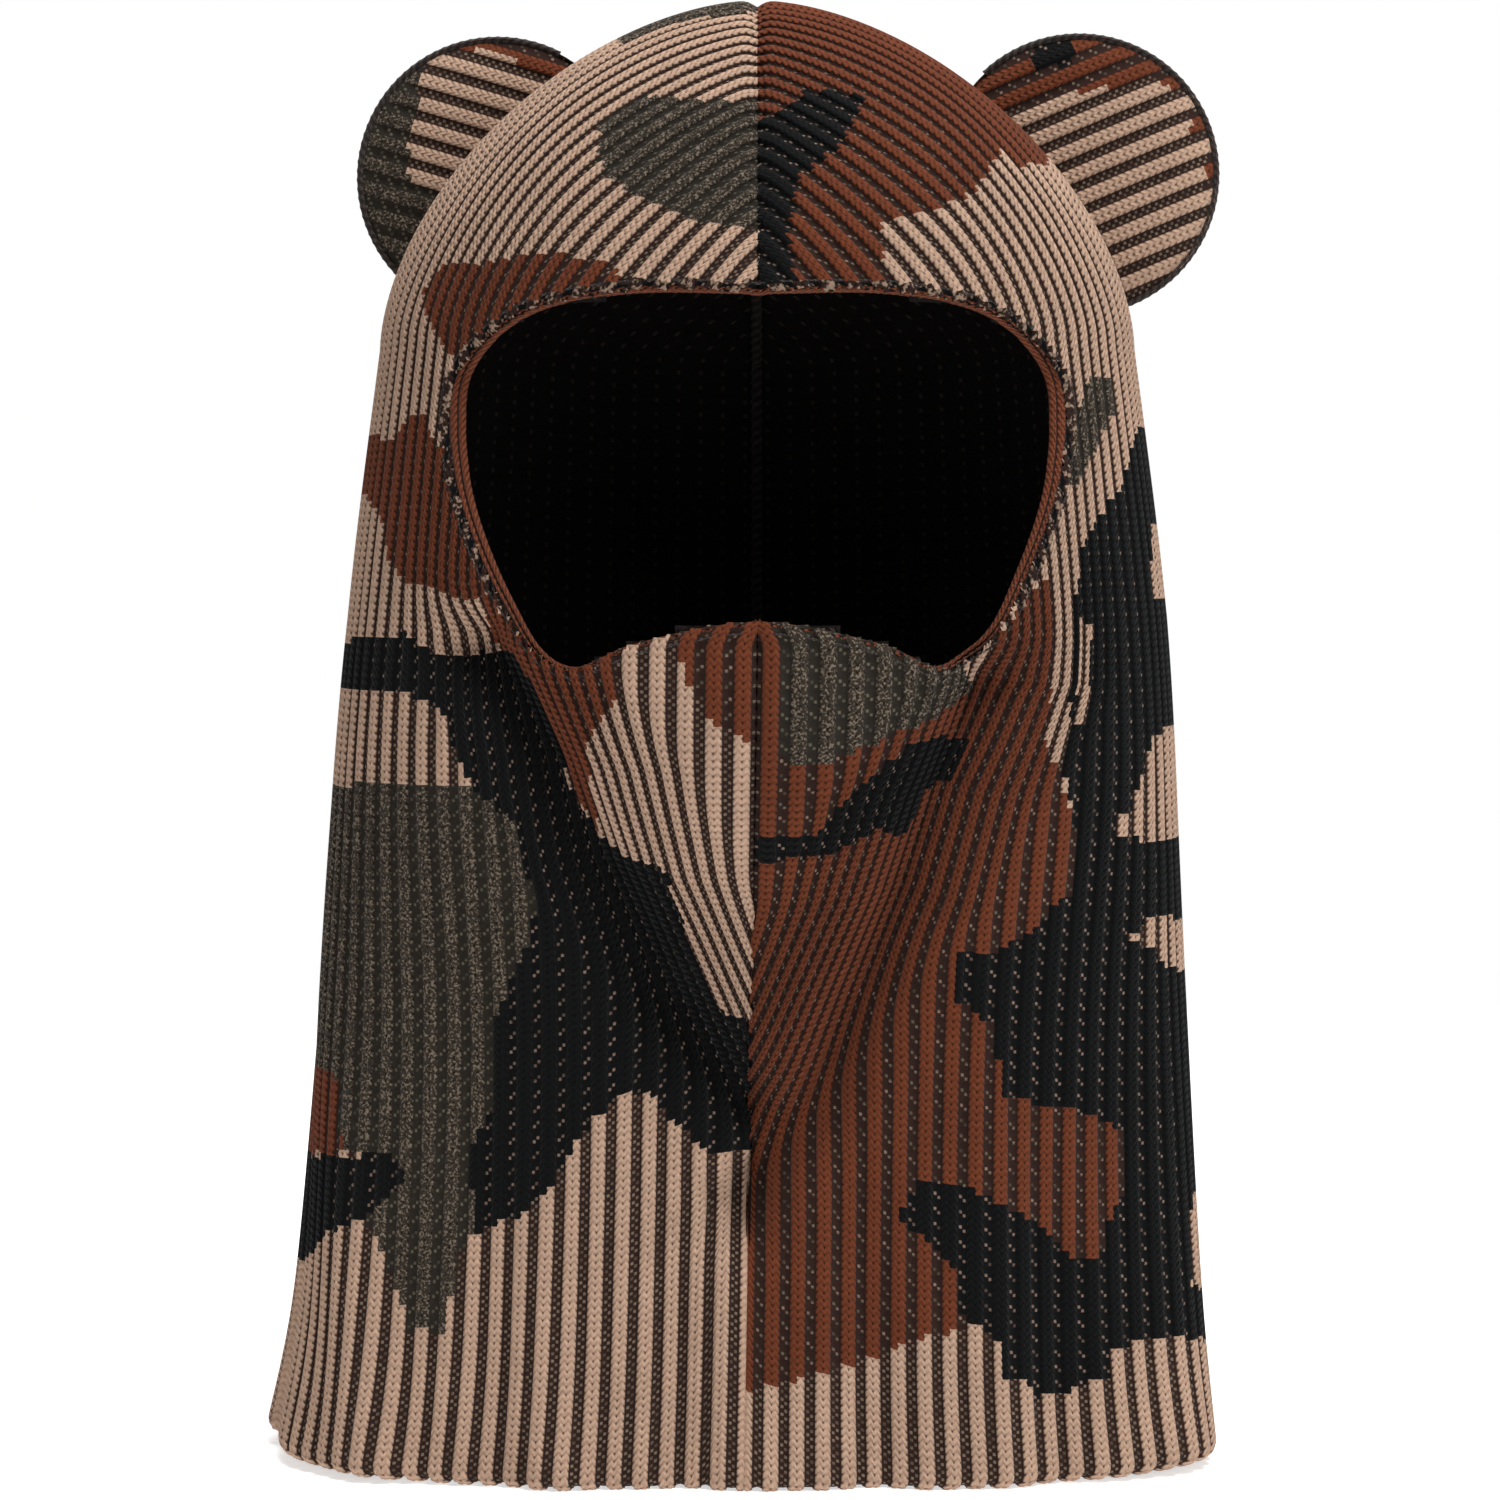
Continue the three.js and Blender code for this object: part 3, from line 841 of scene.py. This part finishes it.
def floor_material():
    s = Shader("studio_floor")
    grain = s.noise(6, 2.0)
    colour = s.mix(grain, (0.86, 0.86, 0.86), (0.9, 0.9, 0.9))
    s.surface.inputs["Emission Color"].default_value = (1, 1, 1, 1)
    s.surface.inputs["Emission Strength"].default_value = FLOOR_GLOW
    return s.finish(colour, grain, 0.0001, 0.8, 0.0)


# ---- Pieces ----------------------------------------------------------------------------------

KNIT_MATERIAL = knit_material()
REVERSE_MATERIAL = reverse_material()
BINDING_MATERIAL = binding_material()
DARK_THREAD = thread_material("dark_thread", (0.010, 0.008, 0.008), (0.060, 0.045, 0.038))
OLIVE_THREAD = thread_material("olive_thread", (0.030, 0.026, 0.018), (0.13, 0.115, 0.085))

COLUMNS = 81
OPENING_CUT = 0.2  # the panel is cut this far out from the opening, behind its rolled edge
EDGE_ROLL = 2.6  # radius over which the panel turns in at the opening
EDGE_SPECKS = 2.3  # width of the speckled edge at the opening's sides and top
EDGE_SPECKS_LOW = 224.0
REVERSE_SHARE = 0.28  # how much of the baked picture's width shows the reverse side


def outer_rows():
    """Level sections of the cloth's outer face: the rolled hem, the body and the crown."""
    turn = np.radians(np.arange(150, 0, -15))
    roll = level_rows(HEM_ROLL * (1 - np.sin(turn)), HEM_ROLL * (1 - np.cos(turn)))
    heights = np.arange(HEM_ROLL, BROW_Z + 0.1, (BROW_Z - HEM_ROLL) / 144)
    return np.vstack([roll, level_rows(heights, 0), crown_rows(0, 46)])


def rolled_in(points, normals):
    """Turns the cloth in at the face opening: the points, and how far each is from the edge."""
    outline, _, _ = opening_outline(160)
    closed = [tuple(spot) for spot in [*outline, outline[0]]]
    x, y, z = points[..., 0], points[..., 1], points[..., 2]
    reach = np.abs(outline).max(0) + 2 * EDGE_ROLL
    beside = (np.abs(x) < reach[0]) & (z < reach[1])
    near = (y < 0) & beside & (z > outline[:, 1].min() - 2 * EDGE_ROLL)
    away = np.full(points.shape[:-1], 2 * EDGE_ROLL)
    away[near] = distance_to_line(x[near], z[near], closed)
    depth = EDGE_ROLL - np.sqrt(EDGE_ROLL**2 - np.maximum(EDGE_ROLL - away, 0) ** 2)
    return points - normals * depth[..., None], away


def outer_cloth(side):
    """Points, faces and maps of a panel's outer face, rib by rib."""
    rows = outer_rows()
    plain = hood_grid(rows, COLUMNS, side)
    points, normals = draped_grid(rows, COLUMNS, side)
    ribs = rib_numbers(rows, plain, side)
    anchor = int(np.argmin(np.abs(rows[:, 4] - MOUTH_Z)))
    low, high = math.ceil(ribs.min()) - 1, math.floor(ribs.max()) + 1
    first = low * LINES_PER_RIB
    line_ids = np.arange(first, high * LINES_PER_RIB)
    numbers = line_ids // LINES_PER_RIB + LINE_OFFSETS[line_ids % LINES_PER_RIB]
    places = np.array([np.interp(numbers, row, np.arange(len(row))) for row in ribs])
    paths = [rib_path(number, ribs, places[:, i]) for i, number in enumerate(numbers)]
    kept = [i for i, path in enumerate(paths) if path is not None]
    line_ids = line_ids[kept]
    numbers = numbers[kept]
    row, column, steps, firsts, lasts = laid_lines([paths[i] for i in kept], points, anchor)
    relief = rib_relief(line_ids[:, None], steps[None, :])
    upward = sampled(normals, row, column)
    spots, away = rolled_in(sampled(points, row, column), upward)
    spots = spots + upward * relief[..., None]
    count = len(steps)
    faces = line_faces(firsts, lasts, count, side < 0)
    line, step = stitch_samples(len(numbers), count, line_ids[0], steps[0])
    camo = hood_camo(spots, side)
    camo[(away < EDGE_SPECKS) & (spots[..., 2] > EDGE_SPECKS_LOW)] = SPECKLED
    camo = camo[line, step]
    flat = spots.reshape(-1, 3)
    keep = ~opened(flat, faces, OPENING_CUT)
    at_line, at_step = faces // count, faces % count
    uvs = np.stack([numbers[at_line], steps[at_step] / 2], 2)
    bake = np.stack([at_line / len(numbers) * (1 - REVERSE_SHARE), at_step / count], 2)
    return flat, faces[keep], uvs[keep], bake[keep], camo[keep]


def inner_cloth(side):
    """Points, faces and maps of a panel's reverse side, on a coarser grid."""
    columns = 41
    heights = np.linspace(HEM_ROLL, BROW_Z, 74)
    rows = np.vstack([level_rows(heights, KNIT), crown_rows(KNIT, 24)])
    points, _ = draped_grid(rows, columns, side)
    ribs = rib_numbers(rows, hood_grid(rows, columns, side), side)
    across = points.shape[1]
    faces = grid_faces(len(rows), across, flip=side > 0)
    keep = ~opened(points.reshape(-1, 3), faces, 0.5)
    faces = faces[keep]
    run = np.cumsum(np.linalg.norm(np.gradient(points, axis=0), axis=2), axis=0) / COURSE
    uvs = np.stack([ribs.ravel()[faces], run.ravel()[faces]], 2)
    bake = grid_uvs(faces, across, REVERSE_SHARE / (across - 1), 1 / (len(rows) - 1))
    bake[..., 0] = 1 - bake[..., 0]
    return points.reshape(-1, 3), faces, uvs, bake, np.zeros(len(faces))


def add_panel(name, side):
    outer = outer_cloth(side)
    points, faces, uvs, bake, camo = joined(outer, inner_cloth(side))
    slots = np.arange(len(faces)) >= len(outer[1])
    materials = [KNIT_MATERIAL, REVERSE_MATERIAL]
    return make_mesh(f"{name}_knit_panel", points, faces, uvs, bake, materials, camo, slots)


# The facing's section: out from the opening's edge, up from the cloth, and its colour. It starts
# behind the panel's rolled edge, and at the two sides it reaches further into the opening.
# The dark groove colour, behind the rolled edge and between the two cords, is painted shade.
BINDING_SECTION = [
    (1.7, -0.9, SHADED_GROOVE), (1.0, -0.7, SHADED_GROOVE), (0.5, -0.5, FACING), (0.0, -0.5, FACING),
    (-0.4, -0.9, FACING), (-0.7, -1.5, SHADED_GROOVE), (-0.8, -1.7, SHADED_GROOVE), (-1.1, -1.6, FACING),
    (-1.5, -1.9, FACING), (-1.7, -2.6, FACING), (-1.6, -3.4, FACING), (-1.0, -4.0, FACING),
    (0.4, -4.3, FACING), (2.4, -4.3, FACING), (4.2, -4.0, FACING), (5.6, -3.5, FACING),
]
FACING_INSET = 2.1  # how much less of the facing shows above and below the opening


def half_opening_path(side, step):
    """Outline points of one side's half of the opening, from the brow seam to the chin seam."""
    _, _, length = opening_outline(160)
    count = 2 * round(length / 2 / step)
    outline, away, _ = opening_outline(count)
    half = np.arange(0, count // 2 + 1)
    order = half if side > 0 else (-half) % count
    return outline[order], away[order]


def on_front(outline, away, out, up):
    """Points out from the opening's edge and up from the draped cloth."""
    x = outline[:, 0][:, None] + away[:, 0][:, None] * out
    z = outline[:, 1][:, None] + away[:, 1][:, None] * out
    base, normal = front_surface(x, z)
    rise = up[None, :] + drape(base)
    return drift(base + normal * rise[..., None])


def add_binding(name, side):
    outline, away = half_opening_path(side, HALF_COURSE)
    section = np.array(BINDING_SECTION)
    count, across = len(outline), len(section)
    step = np.arange(count)[:, None]
    stitch = 0.15 * np.where((step + np.arange(across)[None, :]) % 2 == 0, 1, -1)
    level = np.abs(away[:, 1])[:, None] * np.clip(-section[:, 0] + 0.5, 0, 1)[None, :]
    points = on_front(outline, away, section[:, 0] + FACING_INSET * level, section[:, 1])
    _, normal = front_surface(outline[:, 0], outline[:, 1])
    points = points + normal[:, None, :] * (stitch * (section[:, 1] > -3))[..., None]
    faces = grid_faces(count, across, flip=side < 0)
    uvs = grid_uvs(faces, across, 0.5, 0.5)
    bake = grid_uvs(faces, across, 1 / (across - 1), 1 / (count - 1))
    camo = section[faces.min(1) % across, 2]
    return make_mesh(f"{name}_rolled_binding", points, faces, uvs, bake, [BINDING_MATERIAL], camo)


def stitches(name, path, up, along, length, thick, material):
    """A row of thread stitches: one slim bead at each path point, along the path."""
    rings, sides = 5, 6
    count = len(path)
    lift = np.linspace(-1, 1, rings)
    radius = np.sqrt(np.clip(1 - lift**2, 0.02, 1)) * thick / 2
    angle = np.arange(sides) / sides * 2 * math.pi
    across = np.cross(along, up)
    path, along, across, up = (each[:, None, None, :] for each in (path, along, across, up))
    ring = across * np.cos(angle)[:, None] + up * np.sin(angle)[:, None]
    points = path + along * (lift * length / 2)[:, None, None] + ring * radius[:, None, None]
    one = grid_faces(rings, sides, around=True)
    faces = (one[None] + (np.arange(count) * rings * sides)[:, None, None]).reshape(-1, 4)
    uvs = np.tile(grid_uvs(one, sides, 1 / sides, 0.5, seam=sides), (count, 1, 1))
    bake = np.stack([uvs[..., 0] * 0.999, uvs[..., 1] * 0.499], 2)
    return make_mesh(name, points, faces, uvs, bake, [material])


def unit(vectors):
    return vectors / np.linalg.norm(vectors, axis=-1, keepdims=True)


def squared(up, along):
    """up, turned square to along."""
    return unit(up - along * (up * along).sum(1, keepdims=True))


def skirt_outward(points):
    """The level direction out from the hood's skirt at each point."""
    side, front = LEVELS[0, 1:3]
    return unit(points * [1, 1, 0] / [side**2, front**2, 1])


def add_binding_stitching(name, side):
    outline, away = half_opening_path(side, 2.0)
    path = on_front(outline, away, np.array([[2.4]]), np.array([0.35]))[:, 0]
    _, up = front_surface(outline[:, 0], outline[:, 1])
    along = unit(np.gradient(path, axis=0))
    up = squared(up, along)
    # Real stitches in dark thread, kept thin so they also stand in for a painted shadow line along the
    # binding.
    return stitches(f"{name}_binding_chain_stitch", path, up, along, 2.2, 0.6, DARK_THREAD)


HEM_FOLD_TOP = 25.0
HEM_FOLD_INSETS = (3.3, 5.7)
HEM_STITCH_DROP = 3.8
HEM_STITCH_INSET = 6.3


def add_hem_fold(name, side):
    """The inner turn of the hem: a flat band with rounded edges, ribbed on the inside."""
    low, high = HEM_FOLD_INSETS
    middle, half = (low + high) / 2, (high - low) / 2
    turn = np.radians(np.arange(0, 181, 30))
    bottom = [(HEM_ROLL - half * math.sin(a), middle - half * math.cos(a)) for a in turn]
    top = [(HEM_FOLD_TOP - half + half * math.sin(a), middle + half * math.cos(a)) for a in turn]
    inner = [(z, high) for z in np.linspace(HEM_ROLL + 2, HEM_FOLD_TOP - half - 2, 9)]
    profile = np.array([*bottom, *inner, *top, bottom[0]])
    rows = level_rows(profile[:, 0], profile[:, 1])
    plain = hood_grid(rows, 161, side)
    across = plain.shape[1]
    ribs = np.linspace(-HEM_RIBS, HEM_RIBS, across)
    inside_face = profile[:, 1] > middle
    ridge = 0.45 * np.cos(2 * math.pi * ribs)[None, :] * inside_face[:, None]
    points = drift(plain + skirt_outward(plain) * (drape(plain) + ridge)[..., None])
    faces = grid_faces(len(rows), across, flip=side > 0)
    uvs = np.stack([ribs[faces % across], profile[faces // across, 0] / COURSE], 2)
    bake = grid_uvs(faces, across, 1 / (across - 1), 1 / (len(rows) - 1))
    return make_mesh(f"{name}_hem_turn", points, faces, uvs, bake, [KNIT_MATERIAL])


def add_hem_stitching():
    """The cover stitch that holds the turned hem, all round inside."""
    row = level_rows([HEM_FOLD_TOP - HEM_STITCH_DROP], HEM_STITCH_INSET)
    plain = np.vstack([hood_grid(row, 76, 1)[0], hood_grid(row, 76, -1)[0][::-1]])
    outward = skirt_outward(plain)
    path = drift(plain + outward * drape(plain)[:, None])
    along = unit(np.roll(path, -1, axis=0) - np.roll(path, 1, axis=0))
    up = squared(-outward, along)
    return stitches("hem_cover_stitch", path, up, along, 3.6, 0.8, OLIVE_THREAD)


SEAM_DEPTH = (3.4, 9.2)
SEAM_HALF_WIDTH = 1.4
SEAM_STEP = 0.9
SEAM_STITCH = 2.7
CHIN_SEAM_TOP = 214.0
CROWN_SEAM_START = 306.0


def seam_line(rows, back):
    """The middle of each level section, at the front or the back."""
    return np.column_stack([0 * rows[:, 4], rows[:, 2] if back else -rows[:, 1], rows[:, 4]])


def chin_path(low, high):
    return seam_line(level_rows(np.arange(low, high + 0.1, 1.0), 0), False)


def crown_path(low, high):
    """From the front at a height above the brow, over the crown, and down the back."""
    crown = crown_rows(0, 90)
    down = level_rows(np.arange(BROW_Z, low, -1.0), 0)
    ahead = seam_line(crown[crown[:, 4] > high], False)
    return np.vstack([ahead, seam_line(crown, True)[::-1], seam_line(down, True)])


def evenly(path, step):
    run = np.concatenate([[0], np.cumsum(np.linalg.norm(np.diff(path, axis=0), axis=1))])
    spots = np.linspace(0, run[-1], max(2, round(run[-1] / step)))
    return np.stack([np.interp(spots, run, path[:, k]) for k in range(3)], 1)


def add_seam(name, path):
    """The overlocked edges of the two panels, which stand into the hood along the seam."""
    path = evenly(path, SEAM_STEP)
    along = unit(np.gradient(path, axis=0))
    outward = unit(np.cross(along, [1.0, 0, 0]))
    if outward[len(outward) // 2] @ (path[len(path) // 2] - [0, 0, 150]) < 0:
        outward = -outward
    sides = 14
    angle = np.arange(sides) / sides * 2 * math.pi
    middle = sum(SEAM_DEPTH) / 2
    half = (SEAM_DEPTH[1] - SEAM_DEPTH[0]) / 2
    ripple = 1 + 0.16 * np.cos(2 * math.pi * np.arange(len(path)) * SEAM_STEP / SEAM_STITCH)
    wide = np.sign(np.cos(angle)) * np.abs(np.cos(angle)) ** 0.6 * SEAM_HALF_WIDTH
    deep = np.sign(np.sin(angle)) * np.abs(np.sin(angle)) ** 0.6 * half
    centre = path + outward * (drape(path)[:, None] - middle)
    offset = wide[None, :, None] * ripple[:, None, None] * np.array([1.0, 0, 0])
    points = centre[:, None, :] + offset + outward[:, None, :] * deep[None, :, None]
    return tube(name, drift(points), DARK_THREAD, 4, SEAM_STEP / SEAM_STITCH)


EAR_RADIUS = 36.6
EAR_HALF = 7.0
EAR_BACK = 8.0
EAR_RIB = 6.3
EAR_BELOW = 9.0  # how far an ear reaches below the line it nods about
EAR_FOOT_RISE = 1.8
EAR_RELIEF = 0.75
EDGE_CORD = 0.85
EARS = {
    "right": {"side": -1, "lean": 56.0, "rise": -7.3, "ribs": -17.0, "patches": RIGHT_EAR_PATCHES},
    "left": {"side": 1, "lean": 61.0, "rise": 6.18, "ribs": 23.0, "patches": LEFT_EAR_PATCHES},
}


def ear_frame(ear):
    """(centre, direction away from the crown, distance of the nodding line from the centre)."""
    lean = math.radians(ear["lean"])
    away = np.array([ear["side"] * math.sin(lean), 0, math.cos(lean)])
    across = (math.sin(lean) / LEVELS[-1, 1]) ** CROWN_ROUNDNESS
    up = (math.cos(lean) / (CROWN_TOP - BROW_Z)) ** CROWN_ROUNDNESS
    reach = (across + up) ** (-1 / CROWN_ROUNDNESS) + ear["rise"]
    centre = np.array([0, EAR_BACK, BROW_Z]) + away * reach
    return centre, away, EAR_FOOT_RISE - ear["rise"]


def ear_face(ear, front):
    """Points, faces and maps of one face of an ear, rib by rib across a disc."""
    centre, away, nod = ear_frame(ear)
    tilt = math.radians(ear["ribs"])
    run = np.array([math.cos(tilt), 0, math.sin(tilt)])
    over = np.array([-math.sin(tilt), 0, math.cos(tilt)])
    edge = EAR_RADIUS / EAR_RIB
    low = math.floor(-edge)
    ids = np.arange(low * LINES_PER_RIB, (math.ceil(edge) + 1) * LINES_PER_RIB)
    numbers = ids // LINES_PER_RIB + LINE_OFFSETS[ids % LINES_PER_RIB]
    kept = np.abs(numbers) < edge
    ids, numbers = ids[kept], numbers[kept]
    chord = np.sqrt(EAR_RADIUS**2 - (numbers * EAR_RIB) ** 2)
    most = math.ceil(EAR_RADIUS / HALF_COURSE)
    steps = np.arange(-most, most + 1)
    along = np.clip(steps[None, :] * HALF_COURSE, -chord[:, None], chord[:, None])
    firsts = (most - np.ceil(chord / HALF_COURSE)).astype(int)
    lasts = (most + np.ceil(chord / HALF_COURSE)).astype(int)
    level = (numbers * EAR_RIB)[:, None] + 0 * along
    radius = np.clip(np.hypot(along, level) / EAR_RADIUS, 0, 1)
    puff = EAR_HALF * (1 - radius**2.6) ** 0.62
    rim = np.clip((1 - radius) * 8, 0, 1)
    relief = EAR_RELIEF * rib_relief(ids[:, None], steps[None, :]) * rim
    side = -1 if front else 1
    out = np.array([0, side, 0])
    spots = centre + along[..., None] * run + level[..., None] * over
    spots = spots + (puff - 1 + relief)[..., None] * out
    count = len(steps)
    faces = line_faces(firsts, lasts, count, not front)
    line, step = stitch_samples(len(numbers), count, ids[0], steps[0])
    camo = painted(*on_view_plane(spots), ear["patches"])[line, step]
    flat = spots.reshape(-1, 3)
    height = (flat[faces].mean(1) - centre) @ away
    keep = height > nod - EAR_BELOW
    uvs = np.stack([numbers[faces // count], steps[faces % count] / 2], 2)
    half = 0 if front else 0.5
    bake = np.stack([(faces // count) / len(numbers) / 2 + half, (faces % count) / count], 2)
    return flat, faces[keep], uvs[keep], bake[keep], camo[keep]


def add_ear(name, ear):
    points, faces, uvs, bake, camo = joined(ear_face(ear, True), ear_face(ear, False))
    return make_mesh(f"{name}_padded_ear", points, faces, uvs, bake, [KNIT_MATERIAL], camo)


def add_ear_edge(name, ear):
    """The overlocked seam round an ear's edge, as a thread-wrapped cord."""
    centre, away, nod = ear_frame(ear)
    across = np.cross(away, [0, 1.0, 0])
    radius = EAR_RADIUS - 0.1
    reach = math.acos(max(-1, min(1, (nod - EAR_BELOW / 2) / radius)))
    steps = round(2 * reach * radius / 0.8)
    turn = np.linspace(-reach, reach, steps)
    outward = away * np.cos(turn)[:, None] + across * np.sin(turn)[:, None]
    path = centre + outward * radius
    sides = 12
    angle = np.arange(sides) / sides * 2 * math.pi
    wrap = 1 + 0.12 * np.cos(2 * math.pi * np.arange(steps)[:, None] / 3 + angle[None, :])
    ring = outward[:, None, :] * np.cos(angle)[None, :, None]
    ring = ring + np.array([0, 1.0, 0]) * np.sin(angle)[None, :, None]
    points = path[:, None, :] + ring * (EDGE_CORD * wrap)[..., None]
    return tube(f"{name}_ear_overlock", points, DARK_THREAD, 3, 1 / 3)


def metres(spot):
    return tuple(float(value) * MM for value in spot)


for name, side in (("right", -1), ("left", 1)):
    panel = add_panel(name, side)
    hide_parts(f"{name}_panel")
    binding = add_binding(name, side)
    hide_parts(f"{name}_face_binding")
    chain = add_binding_stitching(name, side)
    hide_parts(f"{name}_binding_stitching")
    fold = add_hem_fold(name, side)
    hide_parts(f"{name}_hem_fold")
    for piece in (panel, binding, chain, fold):
        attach(piece, "hood")

hem_stitch = add_hem_stitching()
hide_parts("hem_stitching")
chin = add_seam("chin_overlock_seam", chin_path(HEM_FOLD_TOP + 0.5, CHIN_SEAM_TOP))
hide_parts("chin_seam")
crown = add_seam("crown_overlock_seam", crown_path(HEM_FOLD_TOP + 0.5, CROWN_SEAM_START))
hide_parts("crown_and_back_seam")
for piece in (hem_stitch, chin, crown):
    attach(piece, "hood")

for name, ear in EARS.items():
    centre, away, nod = ear_frame(ear)
    start = metres(centre + away * (nod - 4))
    end = metres(centre + away * (nod + 5))
    pad = add_ear(name, ear)
    nodes = [f"{name}_ear_{part}" for part in ("front", "back", "padding", "foot")]
    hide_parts(*nodes)
    cord = add_ear_edge(name, ear)
    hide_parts(f"{name}_ear_edge_seam")
    for piece in (pad, cord):
        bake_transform(piece)

# ---- Studio ----------------------------------------------------------------------------------


FLOOR_REACH = 1.3  # in metres, as all of the studio is
FLOOR_Z = -0.0005
AMBIENT = 0.12  # the studio's light from all round; the backdrop itself is seen as white
LENS = 113.4
LOOK_HEIGHT = 0.1849


def add_floor():
    mesh = bpy.data.meshes.new("floor")
    ring = ((-1, -1), (1, -1), (1, 1), (-1, 1))
    corners = [(x * FLOOR_REACH, y * FLOOR_REACH, FLOOR_Z) for x, y in ring]
    mesh.from_pydata(corners, [], [(0, 1, 2, 3)])
    mesh.materials.append(floor_material())
    floor = bpy.data.objects.new("floor", mesh)
    bpy.context.scene.collection.objects.link(floor)


def add_light(name, place, size, power):
    data = bpy.data.lights.new(name, "AREA")
    data.shape = "DISK"
    data.size = size
    data.energy = power
    light = bpy.data.objects.new(name, data)
    light.location = place
    light.rotation_euler = (Vector((0, 0, 0.2)) - Vector(place)).to_track_quat("-Z", "Y").to_euler()
    bpy.context.scene.collection.objects.link(light)


def add_camera():
    data = bpy.data.cameras.new("camera")
    data.sensor_width = 36.0
    data.lens = LENS
    camera = bpy.data.objects.new("camera", data)
    camera.location = EYE * MM
    target = Vector((EYE[0] * MM, 0, LOOK_HEIGHT))
    camera.rotation_euler = (target - camera.location).to_track_quat("-Z", "Y").to_euler()
    bpy.context.scene.collection.objects.link(camera)
    bpy.context.scene.camera = camera


def add_world():
    world = bpy.data.worlds.new("studio")
    world.use_nodes = True
    tree = world.node_tree
    background = tree.nodes["Background"]
    background.inputs["Color"].default_value = (1, 1, 1, 1)
    seen = tree.nodes.new("ShaderNodeLightPath")
    strength = tree.nodes.new("ShaderNodeMapRange")
    strength.inputs["To Min"].default_value = AMBIENT
    strength.inputs["To Max"].default_value = 1.0
    tree.links.new(seen.outputs["Is Camera Ray"], strength.inputs["Value"])
    tree.links.new(strength.outputs["Result"], background.inputs["Strength"])
    bpy.context.scene.world = world


add_floor()
add_light("key", (0.45, -0.85, 2.2), 0.9, 50)
add_light("fill", (1.5, -1.3, 0.7), 1.2, 6)
add_light("top", (0.0, 0.4, 1.8), 1.2, 14)
add_camera()
add_world()
bpy.context.scene.view_settings.view_transform = "Standard"
